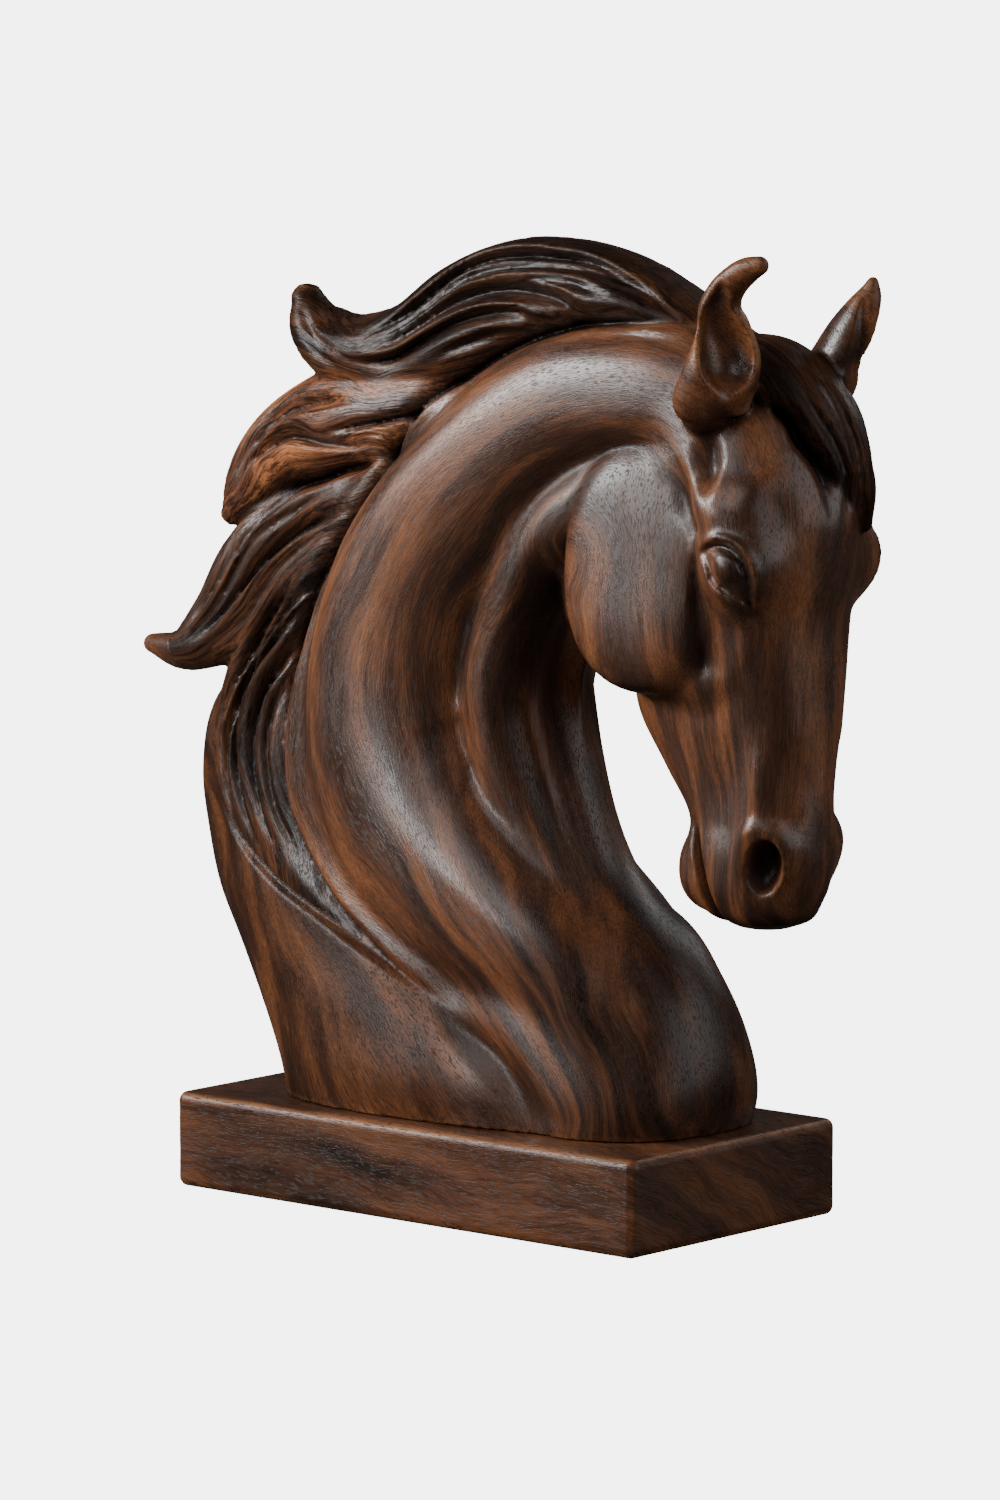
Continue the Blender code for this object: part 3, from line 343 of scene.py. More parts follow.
# Fold of the far ear, on that side alone
FAR_EAR_LIPS: tuple[Table, ...] = (
    ((148, 22, 281, 1, 1, 4), (150, 22, 287, 1, 2.5, 5), (152, 23, 294, 1, 3, 6), (154, 23, 303, 1, 3, 6),
     (154.4, 24, 310, 1, 3, 5), (154.4, 26, 317, 1, 2.4, 4), (153.6, 28, 323, 1, 1, 3)),
)
SHARP_GROOVES: tuple[Table, ...] = (
    ((-77, 256, 1.4, 1), (-58, 260, 2, 5), (-39, 264, 2.6, 6.5), (-24, 267, 2.6, 4)),
    ((-74, 254, 1.2, 0.6), (-52, 257, 1.6, 2.6), (-32, 261, 1.6, 1)),
    ((-70, 235, 1.2, 0.5), (-85, 228, 1.4, 1.8), (-100, 220, 1.8, 2.8), (-111, 212, 2, 3.4),
     (-118, 203, 2, 3.6), (-125, 193, 1.8, 3.2), (-133, 183, 1.6, 2.4), (-144, 173, 1.2, 0.8)),
    ((-62, 221, 1.2, 0.5), (-81, 213, 1.4, 1.8), (-96, 203, 1.6, 2.4), (-104, 194, 1.6, 2.6),
     (-113, 184, 1.6, 2.4), (-124, 176, 1.4, 1.6), (-137, 168, 1.2, 0.5)),
    ((108, 122, 2, 2), (109.5, 115, 2.6, 6), (111.5, 107, 3, 8), (113.5, 100, 3, 8), (115.5, 93, 3, 7.5),
     (119, 85, 2.6, 5)),
)

# Flow of the grain in skin: distance across the flow, then the x and z of points along it
SKIN_FLOW: tuple[tuple[float, Table], ...] = (
    (0, ((14, 42), (-60, 83), (-82, 110), (-87, 135), (-84, 165), (-72, 198), (-50, 226), (-25, 266),
         (10, 289), (50, 303), (97, 307), (125, 300), (150, 285), (160, 260), (163, 225), (160, 180),
         (158, 140), (155, 110), (150, 90))),
    (40, ((84, -22), (73, 6), (54, 34), (27, 64), (-6, 98), (-33, 132), (-38, 165), (-24, 205), (8, 242),
          (48, 269), (92, 277), (118, 266), (133, 240), (138, 200), (138, 160), (136, 120), (132, 90))),
    (80, ((76, 0), (72, 30), (60, 55), (50, 65), (32, 85), (14, 108), (2, 135), (-3, 162), (5, 198),
          (28, 228), (60, 250), (88, 256), (108, 245), (117, 222), (119, 190), (120, 150), (122, 110),
          (122, 90))),
    (118, ((92, 0), (88, 20), (74, 48), (66, 72), (52, 95), (42, 115), (35, 140), (33, 165), (42, 195),
           (50, 212))),
    (118, ((101, 232), (101, 200), (103, 175), (106, 140), (108, 110), (108, 95))),
    (134, ((87, 236), (86, 205), (88, 172), (92, 145))),
    (150, ((73, 232), (71, 205), (74, 176), (80, 145))),
    (168, ((58, 222), (56, 195), (60, 165), (66, 140))),
    (145, ((108, 0), (103, 30), (90, 60), (75, 85))),
    (-20, ((-78, 90), (-40, 58), (-5, 30), (18, 0))),
    (-45, ((-100, 90), (-65, 50), (-35, 15), (-25, 0))),
    (-80, ((-125, 100), (-108, 60), (-92, 25), (-88, 0))),
    (-40, ((66, 345), (20, 350), (-30, 340), (-90, 330), (-140, 240), (-170, 180))),
)
# The same in the hair: from the crown down to the nape, and the forelock
HAIR_FLOW: tuple[tuple[float, Table], ...] = (
    (-10, ((97, 316), (66, 331), (20, 336), (-20, 325), (-50, 304), (-72, 302), (-90, 312))),
    (0, ((104, 307), (86, 319), (61, 329), (34, 333), (4, 331), (-17, 322), (-33, 309), (-56, 294))),
    (8, ((96, 309), (77, 321), (44, 328), (11, 326), (-17, 316), (-41, 298))),
    (16, ((65, 308), (47, 316), (24, 321), (0, 317), (-26, 303), (-42, 294), (-69, 291), (-88, 302))),
    (26, ((42, 302), (21, 309), (-9, 302), (-35, 289), (-50, 286), (-67, 288), (-85, 294))),
    (34, ((28, 301), (5, 298), (-19, 288), (-45, 279), (-61, 282), (-75, 287))),
    (52, ((-40, 276), (-62, 280), (-92, 273), (-123, 250))),
    (60, ((-52, 270), (-79, 267), (-103, 259), (-118, 246), (-129, 231))),
    (70, ((-24, 267), (-39, 264), (-58, 260), (-77, 256))),
    (78, ((-37, 254), (-64, 252), (-93, 253), (-111, 245), (-130, 226))),
    (86, ((-40, 251), (-74, 247), (-100, 239), (-117, 228))),
    (92, ((-57, 249), (-94, 239), (-125, 222))),
    (100, ((-41, 249), (-66, 242), (-92, 233), (-109, 221), (-123, 204), (-136, 187), (-155, 170))),
    (108, ((-70, 235), (-100, 220), (-118, 203), (-133, 183), (-144, 173))),
    (116, ((-56, 228), (-86, 217), (-106, 203), (-121, 188), (-139, 173), (-160, 167))),
    (123, ((-62, 221), (-96, 203), (-113, 184), (-137, 168))),
    (136, ((-66, 208), (-96, 188), (-115, 170), (-133, 161), (-152, 160))),
    (143, ((-73, 199), (-98, 180), (-115, 155), (-122, 124), (-108, 97))),
    (150, ((-79, 190), (-103, 167), (-116, 135), (-102, 97))),
    (156, ((-85, 174), (-101, 153), (-103, 119), (-86, 93))),
    (162, ((-89, 158), (-97, 137), (-90, 109), (-69, 84))),
    (168, ((-87, 135), (-60, 83), (-20, 57))),
    (132, ((-135, 150), (-132, 120))),
    (0, ((120, 304), (139, 298), (156, 282), (165, 260), (165, 240), (160, 224))),
    (12, ((118, 296), (139, 288), (151, 270), (158, 250), (158, 235))),
)

# How curves and distances are worked out, lengths in steps
STATION_ROWS = 8  # rows of a solid's curve from one station to the next
LINE_ROWS = 4  # the same for a relief line
CHORD_POWER = 0.7  # how strongly the pace of a curve follows its stations
FAR = 50.0  # distance written where there is no wood
WINDOW_MARGIN = 3.0  # room kept round a solid that is added or cut
LEAST_SHARE = 1e-4  # keeps divisions and logarithms away from zero
LEAST_STRAY = 1e-6  # least way a line strays sideways that isn't level
STEEPEST = 3.0  # steepest lean of a level section that is reckoned with
ROLL_END = 10.0  # rounding of a roll's two ends
SANDED_REACH = 8.0  # how deep the distances are kept when the block is sanded
PINCH_FILL = 0.05  # wood put into a pinched cell at a time
CORNERS = [(i, j, k) for i in (0, 1) for j in (0, 1) for k in (0, 1)]


class Relief(Enum):
    """Kinds of line that a carver's tool leaves."""

    LIP = "crisp step with a flute beside it"
    SOFT = "rounded groove or ridge"
    SHARP = "groove cut with a V tool"


def smallest(first: Array, second: Array, blend: float) -> Array:
    """Union of two distances, filleted over the blend.

    Args:
        first: Distances to the first solid.
        second: Distances to the second solid.
        blend: Reach of the fillet in steps.

    Returns:
        Distances to both solids together.
    """
    if blend <= 0:
        return np.minimum(first, second)
    share = np.clip(0.5 + 0.5 * (second - first) / blend, 0, 1)
    return second + share * (first - second) - blend * share * (1 - share)


def from_share(radius: Array, share: Array) -> Array:
    """Distances to a surface that lies where the share is 1.

    Args:
        radius: Distance of each place from the middle.
        share: How far out each place lies on its way to the surface.

    Returns:
        Distances, negative inside.
    """
    return radius - radius / np.maximum(share, LEAST_SHARE)


def curve_rows(stations: Array, rows_between: int, keys: int = 3) -> Array:
    """Rows of a smooth curve through the stations.

    Args:
        stations: One row per station, its place first.
        rows_between: Rows from one station to the next.
        keys: Leading columns that say how far apart stations are.

    Returns:
        The rows of the curve, with every column made smooth.
    """
    points = np.array(stations, float)
    chords = np.linalg.norm(np.diff(points[:, :keys], axis=0), axis=1) ** CHORD_POWER
    place = np.concatenate([[0], np.cumsum(chords)])
    pace = np.diff(points, axis=0) / chords[:, None]
    slope = np.empty_like(points)
    slope[0], slope[-1] = pace[0], pace[-1]
    before, after = chords[:-1, None], chords[1:, None]
    slope[1:-1] = (pace[:-1] * after + pace[1:] * before) / (before + after)
    rows = []
    for i in range(len(points) - 1):
        span = place[i + 1] - place[i]
        for s in np.arange(rows_between) / rows_between:
            rows.append(
                points[i] * (2 * s**3 - 3 * s**2 + 1)
                + slope[i] * span * (s**3 - 2 * s**2 + s)
                + points[i + 1] * (3 * s**2 - 2 * s**3)
                + slope[i + 1] * span * (s**3 - s**2)
            )
    rows.append(points[-1])
    return np.array(rows)


def turning(about_y: float = 0.0, about_z: float = 0.0, about_x: float = 0.0) -> Array:
    """Rotation for a turn about Y, then about X, then about Z.

    Args:
        about_y: Degrees about Y.
        about_z: Degrees about Z.
        about_x: Degrees about X.

    Returns:
        A 3 by 3 matrix.
    """
    y, z, x = np.radians((about_y, about_z, about_x))
    round_y = np.array([[np.cos(y), 0, np.sin(y)], [0, 1, 0], [-np.sin(y), 0, np.cos(y)]])
    round_z = np.array([[np.cos(z), -np.sin(z), 0], [np.sin(z), np.cos(z), 0], [0, 0, 1]])
    round_x = np.array([[1, 0, 0], [0, np.cos(x), -np.sin(x)], [0, np.sin(x), np.cos(x)]])
    return round_z @ round_x @ round_y


@dataclass
class Round:
    """Ellipsoid, or a flattened disc when its powers are over 2.

    Attributes:
        centre: Its middle.
        radii: Half its length, thickness and height.
        turned: Rotation from its own axes to the block's.
        outline: Power that shapes it seen from the side, 2 for an ellipse.
        fullness: Power that shapes it across, 2 for an ellipse.
    """

    centre: Triple
    radii: Triple
    turned: Array
    outline: float = 2.0
    fullness: float = 2.0

    def box(self) -> tuple[Array, Array]:
        """Lowest and highest corner."""
        reach = np.abs(self.turned) @ np.array(self.radii, float)
        return np.array(self.centre) - reach, np.array(self.centre) + reach

    def distance(self, x: Array, y: Array, z: Array) -> Array:
        """Distances to the solid, negative inside.

        Args:
            x, y, z: Places along each axis.

        Returns:
            One distance for each place.
        """
        offset = [axis - c for axis, c in zip((x, y, z), self.centre)]
        local = [sum(np.float32(self.turned[j, i]) * offset[j] for j in range(3)) for i in range(3)]
        scaled = [np.abs(q / np.float32(r)) for q, r in zip(local, self.radii)]
        flat = (scaled[0] ** self.outline + scaled[2] ** self.outline) ** (1 / self.outline)
        share = (flat**self.fullness + scaled[1] ** self.fullness) ** (1 / self.fullness)
        return from_share(np.sqrt(sum(q * q for q in local)), share)


class Levels:
    """Solid of level sections stacked up Z."""

    CENTRE, AHEAD, BEHIND, HALF, POWER_AHEAD, POWER_BEHIND, TURN = range(7)

    def __init__(self, table: Table) -> None:
        """Lays the sections out.

        Args:
            table: One row per level.
        """
        rows = curve_rows([(row[0], 0, 0) + tuple(row[1:]) for row in table], STATION_ROWS)
        order = np.argsort(rows[:, 0])
        self.height = rows[order, 0]
        self.sizes = rows[order, 3:]
        self.slopes = np.gradient(self.sizes, self.height, axis=0)

    def box(self) -> tuple[Array, Array]:
        """Lowest and highest corner."""
        centre, ahead, behind, half = self.sizes[:, :4].T
        width = (half + np.abs(self.sizes[:, self.TURN]) * np.maximum(ahead, behind)).max()
        low = np.array([(centre - behind).min(), -width, self.height[0]])
        high = np.array([(centre + ahead).max(), width, self.height[-1]])
        return low, high

    def distance(self, x: Array, y: Array, z: Array) -> Array:
        """Distances to the solid, negative inside.

        Args:
            x, y, z: Places along each axis.

        Returns:
            One distance for each place.
        """

        def size(i: int) -> Array:
            """Size number i at each height."""
            return np.interp(z, self.height, self.sizes[:, i]).astype(np.float32)

        def slope(i: int) -> Array:
            """Change of size number i with height."""
            return np.interp(z, self.height, self.slopes[:, i]).astype(np.float32)

        along = x - size(self.CENTRE)
        across = y - size(self.TURN) * along
        ahead = along > 0
        reach = np.where(ahead, size(self.AHEAD), size(self.BEHIND))
        power = np.where(ahead, size(self.POWER_AHEAD), size(self.POWER_BEHIND))
        share = (np.abs(along) / reach) ** power + (np.abs(across) / size(self.HALF)) ** power
        share = share ** (1 / power)
        radius = np.sqrt(along * along + across * across)
        flat = from_share(radius, share)
        middle = slope(self.CENTRE)
        lean = np.where(ahead, middle + slope(self.AHEAD), middle - slope(self.BEHIND))
        lean = np.clip(lean, -STEEPEST, STEEPEST) * along
        swell = np.clip(slope(self.HALF), -STEEPEST, STEEPEST) * across
        steepness = np.sqrt(1 + (lean**2 + swell**2) / np.maximum(radius, LEAST_SHARE) ** 2)
        beyond = np.maximum(z - np.float32(self.height[-1]), np.float32(self.height[0]) - z)
        return np.maximum(flat / steepness, beyond)


class Path:
    """Smooth line in space that carries sizes along it."""

    def __init__(self, rows: Array) -> None:
        """Takes the rows of the line.

        Args:
            rows: Places first, then the sizes.
        """
        self.points = rows[:, :3]
        self.sizes = rows[:, 3:]
        self.level = np.ptp(self.points[:, 1]) < LEAST_STRAY
        ahead = np.gradient(self.points, axis=0)
        self.ahead = ahead / np.linalg.norm(ahead, axis=1)[:, None]

    def place(self, x: Array, y: Array, z: Array) -> Array:
        """Row number of the nearest point of the line, with its fraction.

        Args:
            x, y, z: Places along each axis.

        Returns:
            One row number for each place.
        """
        best, found = None, None
        for i in range(len(self.points) - 1):
            start, step = self.points[i], self.points[i + 1] - self.points[i]
            start, step = start.astype(np.float32), step.astype(np.float32)
            along = (x - start[0]) * step[0] + (z - start[2]) * step[2]
            if not self.level:
                along = along + (y - start[1]) * step[1]
            s = np.clip(along / (step @ step), 0, 1)
            gap = (x - start[0] - s * step[0]) ** 2 + (z - start[2] - s * step[2]) ** 2
            if not self.level:
                gap = gap + (y - start[1] - s * step[1]) ** 2
            if best is None:
                best, found = gap, s
            else:
                closer = gap < best
                best = np.where(closer, gap, best)
                found = np.where(closer, s + np.float32(i), found)
        return found

    def at(self, values: Array, place: Array) -> Array:
        """Values of the rows, read at places between them."""
        return np.interp(place, np.arange(len(values)), values).astype(np.float32)

    def vector(self, vectors: Array, place: Array, offset: list[Array]) -> Array:
        """Component of the offset along a direction carried by the line."""
        return sum(self.at(vectors[:, i], place) * offset[i] for i in range(3))

    def offset(self, place: Array, x: Array, y: Array, z: Array) -> list[Array]:
        """Way from the line to each place, axis by axis."""
        return [axis - self.at(self.points[:, i], place) for i, axis in enumerate((x, y, z))]


class Roll(Path):
    """Solid of sections square to a line in the middle plane."""

    AHEAD, BEHIND, HALF, POWER_AHEAD, POWER_BEHIND = range(5)

    def __init__(self, table: Table) -> None:
        """Lays the sections along their line.

        Args:
            table: One row per section.
        """
        super().__init__(curve_rows([(r[0], 0, r[1]) + tuple(r[2:]) for r in table], STATION_ROWS))
        self.forward = np.column_stack([self.ahead[:, 2], 0 * self.ahead[:, 0], -self.ahead[:, 0]])

    def box(self) -> tuple[Array, Array]:
        """Lowest and highest corner."""
        forward = np.maximum(self.sizes[:, self.AHEAD], self.sizes[:, self.BEHIND])
        reach = np.column_stack([forward, self.sizes[:, self.HALF], forward])
        return (self.points - reach).min(0), (self.points + reach).max(0)

    def distance(self, x: Array, y: Array, z: Array) -> Array:
        """Distances to the solid, negative inside.

        Args:
            x, y, z: Places along each axis.

        Returns:
            One distance for each place.
        """
        place = self.place(x, y, z)
        offset = self.offset(place, x, y, z)
        forward = self.vector(self.forward, place, offset)
        end = self.vector(self.ahead, place, offset)
        sizes = [self.at(size, place) for size in self.sizes.T]
        ahead = forward > 0
        reach = np.where(ahead, sizes[self.AHEAD], sizes[self.BEHIND])
        power = np.where(ahead, sizes[self.POWER_AHEAD], sizes[self.POWER_BEHIND])
        share = (np.abs(forward) / reach) ** power + (np.abs(end) / ROLL_END) ** power
        share = (share + (np.abs(y) / sizes[self.HALF]) ** power) ** (1 / power)
        return from_share(np.sqrt(forward * forward + end * end + y * y), share)


class Lock(Path):
    """Solid swept along a line in space, broad across its facing direction."""

    def __init__(self, table: Table, facing: Triple = (0, 1, 0)) -> None:
        """Lays the sections along their line.

        Args:
            table: One row per section.
            facing: Direction that the broad side looks to.
        """
        super().__init__(curve_rows(table, STATION_ROWS))
        across = np.array(facing, float) - (self.ahead @ np.array(facing, float))[:, None] * self.ahead
        self.facing = across / np.linalg.norm(across, axis=1)[:, None]
        self.broad = np.cross(self.facing, self.ahead)

    def box(self) -> tuple[Array, Array]:
        """Lowest and highest corner."""
        reach = self.sizes.max(axis=1)[:, None]
        return (self.points - reach).min(0), (self.points + reach).max(0)

    def distance(self, x: Array, y: Array, z: Array) -> Array:
        """Distances to the solid, negative inside.

        Args:
            x, y, z: Places along each axis.

        Returns:
            One distance for each place.
        """
        place = self.place(x, y, z)
        offset = self.offset(place, x, y, z)
        parts = [self.vector(v, place, offset) for v in (self.broad, self.facing, self.ahead)]
        breadth, thickness = self.at(self.sizes[:, 0], place), self.at(self.sizes[:, 1], place)
        halves = (breadth, thickness, np.minimum(breadth, thickness))
        share = np.sqrt(sum((p / h) ** 2 for p, h in zip(parts, halves)))
        return from_share(np.sqrt(sum(p * p for p in parts)), share)


@dataclass
class Sight:
    """Direction that a line is drawn from, seen from the near side.

    Attributes:
        azimuth: Degrees round from the side view towards the face.
        elevation: Degrees above the level view.
        both_sides: Whether the line is drawn on the far side too.
    """

    azimuth: float = 0.0
    elevation: float = 0.0
    both_sides: bool = True

    def level(self) -> bool:
        """Whether this is the plain side view."""
        return self.azimuth == 0 and self.elevation == 0

    def flat(self, x: Array, y: Array, z: Array) -> tuple[Array, Array, Array]:
        """Places as they appear from this direction.

        Args:
            x: Places along X.
            y: Places along Y, negative on the near side.
            z: Places along Z.

        Returns:
            How far right, how far up and how far away each place appears.
        """
        turn, tilt = np.radians(self.azimuth), np.radians(self.elevation)
        right = x * np.float32(np.cos(turn)) + y * np.float32(np.sin(turn))
        back = y * np.float32(np.cos(turn)) - x * np.float32(np.sin(turn))
        up = z * np.float32(np.cos(tilt)) + back * np.float32(np.sin(tilt))
        return right, up, back * np.float32(np.cos(tilt)) - z * np.float32(np.sin(tilt))


class Line(Path):
    """Relief line drawn on the carving.

    Attributes:
        MIDDLE: How near the middle plane a line in side view starts to fade.
        END_ROWS: Rows over which a lip grows from each of its ends.
        BEAD: Height of the bead beside a lip, as a share of the lip's depth.
        BEAD_PLACE: How far behind the lip the bead lies, in widths of the lip.
        BEAD_WIDTH: How wide the bead is, in widths of the lip.
        VEE: Power that hollows the sides of a V groove.
        LEAST_REACH: Least room to each side that a line is worked in.
        REACH: The same in sizes of the line.
        DEEPEST: How far before or behind its own depth a slanting line still cuts.
        FADE: Over how many steps it fades there.
    """

    MIDDLE = 10.0
    END_ROWS = 6
    BEAD = 0.035
    BEAD_PLACE = 2.0
    BEAD_WIDTH = 1.6
    VEE = 1.3
    LEAST_REACH = 9.0
    REACH = 3
    DEEPEST = 22.0
    FADE = 10.0

    def __init__(self, table: Table, relief: Relief, sight: Sight, finest: float) -> None:
        """Draws the line.

        Args:
            table: Rows of x, z, width, depth and ease, with y after x when not drawn in side view.
            relief: What the tool leaves.
            sight: Direction that the line is drawn from.
            finest: Least width of the line.
        """
        self.sight = sight
        self.relief = relief
        rows = np.array(table, float)
        if sight.level():
            rows = np.insert(rows, 1, 0, axis=1)
        self.corners = rows[:, :3].min(0), rows[:, :3].max(0)
        right, up, away = sight.flat(rows[:, 0], rows[:, 1], rows[:, 2])
        rows = np.column_stack([right, 0 * right, up, rows[:, 3:], away])
        super().__init__(curve_rows(rows, LINE_ROWS))
        self.sizes[:, 0] = np.maximum(self.sizes[:, 0], finest)
        self.beside = np.column_stack([self.ahead[:, 2], 0 * self.ahead[:, 0], -self.ahead[:, 0]])

    def box(self, width: float) -> tuple[Array, Array]:
        """Lowest and highest corner of what the line may touch.

        Args:
            width: How far the block reaches to each side.

        Returns:
            The two corners.
        """
        reach = max(self.LEAST_REACH, self.REACH * np.delete(self.sizes, [1, -1], axis=1).max())
        if not self.sight.level():
            reach = max(reach, self.DEEPEST)
        low, high = self.corners[0] - reach, self.corners[1] + reach
        if self.sight.both_sides:
            low[1], high[1] = -width, width
        return low, high

    def depth(self, x: Array, y: Array, z: Array) -> Array:
        """How deep the line is cut at each place.

        Args:
            x, y, z: Places along each axis.

        Returns:
            Depths, negative where the line stands proud.
        """
        sided = -np.abs(y) if self.sight.both_sides else y
        right, up, away = (x, z, 0) if self.sight.level() else self.sight.flat(x, sided, z)
        place = self.place(right, 0, up)
        offset = self.offset(place, right, 0, up)
        width, depth = self.at(self.sizes[:, 0], place), self.at(self.sizes[:, 1], place)
        gap = np.sqrt(offset[0] ** 2 + offset[2] ** 2)
        if self.relief is Relief.SOFT:
            shape = np.exp(-((gap / width) ** 2))
        elif self.relief is Relief.SHARP:
            shape = np.clip(1 - gap / width, 0, 1) ** self.VEE
        else:
            across = self.vector(self.beside, place, offset)
            ease = self.at(self.sizes[:, 2], place)
            eased = np.clip(1 - across / ease, 0, 1) ** 2
            shape = np.where(across > 0, eased, np.clip(1 + across / width, 0, 1))
            bead = (across + self.BEAD_PLACE * width) / (self.BEAD_WIDTH * width)
            shape = shape - self.BEAD * np.exp(-(bead**2))
            ends = np.minimum(place, len(self.points) - 1 - place)
            shape = shape * np.clip(ends / self.END_ROWS, 0, 1)
        if self.sight.level():
            return depth * shape * np.clip(np.abs(y) / self.MIDDLE, 0, 1)
        apart = np.abs(away - self.at(self.sizes[:, -1], place))
        return depth * shape * np.clip((self.DEEPEST - apart) / self.FADE, 0, 1)


class Carving:
    """Block of distances to the carved surface, negative inside the wood."""

    def __init__(self, low: Triple, high: Triple, step: float) -> None:
        """Sets up an empty block.

        Args:
            low: Lowest corner.
            high: Highest corner.
            step: Size of a cell.
        """
        self.step = step
        self.axes = [np.arange(a, b + step, step, dtype=np.float32) for a, b in zip(low, high)]
        self.field = np.full([len(axis) for axis in self.axes], FAR, np.float32)

    def window(self, box: tuple[Array, Array], margin: float) -> tuple[tuple[slice, ...], tuple[Array, ...]]:
        """The part of the block round a box.

        Args:
            box: Lowest and highest corner.
            margin: Room kept round the box.

        Returns:
            Slices of the block, and the open grid of its coordinates.
        """
        slices = []
        for axis, low, high in zip(self.axes, box[0], box[1]):
            first = max(0, int(np.floor((low - margin - axis[0]) / self.step)))
            last = min(len(axis), int(np.ceil((high + margin - axis[0]) / self.step)) + 1)
            slices.append(slice(first, last))
        x, y, z = (axis[s] for axis, s in zip(self.axes, slices))
        return tuple(slices), (x[:, None, None], y[None, :, None], z[None, None, :])

    def add(self, shape: Round | Levels | Roll | Lock, blend: float) -> None:
        """Joins a solid to the block.

        Args:
            shape: The solid.
            blend: Reach of the fillet where they meet.
        """
        where, grid = self.window(shape.box(), blend + WINDOW_MARGIN)
        self.field[where] = smallest(self.field[where], shape.distance(*grid), blend)

    def cut(self, shape: Round | Lock, blend: float) -> None:
        """Takes a solid away from the block.

        Args:
            shape: The solid.
            blend: How softly its rim is rounded.
        """
        where, grid = self.window(shape.box(), blend + WINDOW_MARGIN)
        self.field[where] = -smallest(-self.field[where], shape.distance(*grid), blend)

    def engrave(self, tables: tuple[Table, ...], relief: Relief, sight: Sight) -> None:
        """Draws relief lines on the block.

        Args:
            tables: One table per line.
            relief: What the tool leaves.
            sight: Direction that the lines are drawn from.
        """
        for table in tables:
            line = Line(table, relief, sight, self.step)
            where, grid = self.window(line.box(float(self.axes[1][-1])), 0)
            self.field[where] += line.depth(*grid)

    def sanded(self) -> Array:
        """The distances evened out over about one cell.

        Returns:
            A block of the same shape.
        """
        field = self.field
        for axis in range(3):
            field = (2 * field + np.roll(field, 1, axis) + np.roll(field, -1, axis)) / 4
        return field

    def sand(self, passes: int) -> None:
        """Evens the surface out.

        Args:
            passes: How many times.
        """
        self.field = np.clip(self.field, -SANDED_REACH, SANDED_REACH)
        for _ in range(passes):
            self.field = self.sanded()

    def saw_base(self) -> None:
        """Cuts the block flat at height 0."""
        self.field = np.maximum(self.field, -self.axes[2][None, None, :])

    def close_pinches(self) -> None:
        """Fills, a little at a time, the cells whose surface would touch itself."""
        simple = simple_cells()
        while True:
            pinched = np.argwhere(~simple[self.corner_codes()])
            if not len(pinched):
                return
            held = np.zeros(self.field.shape, bool)
            for corner in CORNERS:
                held[tuple((pinched + corner).T)] = True
            filled = np.minimum(self.field, self.sanded()) - PINCH_FILL
            self.field = np.where(held, filled, self.field)

    def corner_codes(self) -> Array:
        """For each cell, which of its corners are inside the wood.

        Returns:
            One number per cell, with one bit per corner.
        """
        inside = (self.field < 0).astype(np.uint8)
        size = [n - 1 for n in self.field.shape]
        return sum(
            inside[i : size[0] + i, j : size[1] + j, k : size[2] + k] << np.uint8(bit)
            for bit, (i, j, k) in enumerate(CORNERS)
        )

    def shelter(self, reach: float) -> Array:
        """Share of wood round each place of the block.

        Args:
            reach: How far round the place it is taken.

        Returns:
            About a half on flat wood, more in a hollow, less on a ridge.
        """
        share = np.clip(0.5 - self.field / (2 * self.step), 0, 1)
        half = max(1, round(reach / self.step))
        for axis in (0, 1, 2, 0, 1, 2):
            share = box_mean(share, half, axis)
        return share

    def read(self, values: Array, points: Array) -> Array:
        """Values of the block at free places.

        Args:
            values: One value per corner of the block's cells.
            points: Places, one row each.

        Returns:
            One value per place.
        """
        origin = np.array([axis[0] for axis in self.axes])
        spots = (points - origin) / self.step
        base = np.clip(np.floor(spots).astype(int), 0, np.array(values.shape) - 2)
        part = np.clip(spots - base, 0, 1)
        total = np.zeros(len(points))
        for corner in CORNERS:
            weight = np.prod([part[:, i] if corner[i] else 1 - part[:, i] for i in range(3)], axis=0)
            total += weight * values[tuple((base + corner).T)]
        return total

    def surface(self) -> tuple[Array, Array]:
        """The carved surface, laid through the cells that it crosses.

        Returns:
            One point per row, and its four-sided faces as numbers of points.
        """
        inside = self.field < 0
        code = self.corner_codes()
        crossed = (code > 0) & (code < 2 ** len(CORNERS) - 1)
        cells = np.argwhere(crossed)
        number = np.full(crossed.shape, -1, np.int64)
        number[crossed] = np.arange(len(cells))
        origin = np.array([axis[0] for axis in self.axes])
        points = (cells + self.crossings(cells)) * self.step + origin
        faces = []
        for axis in range(3):
            second, third = (axis + 1) % 3, (axis + 2) % 3
            low = inside[tuple(slice(0, -1) if i == axis else slice(1, -1) for i in range(3))]
            high = inside[tuple(slice(1, None) if i == axis else slice(1, -1) for i in range(3))]
            base = np.argwhere(low != high)
            outward = ~low[tuple(base.T)]
            base = base + np.array([0 if i == axis else 1 for i in range(3)])
            ring = []
            for back_second, back_third in ((0, 0), (1, 0), (1, 1), (0, 1)):
                cell = base.copy()
                cell[:, second] -= back_second
                cell[:, third] -= back_third
                ring.append(number[tuple(cell.T)])
            quads = np.stack(ring, axis=1)
            quads[outward] = quads[outward][:, ::-1]
            faces.append(quads)
        return points, np.concatenate(faces)

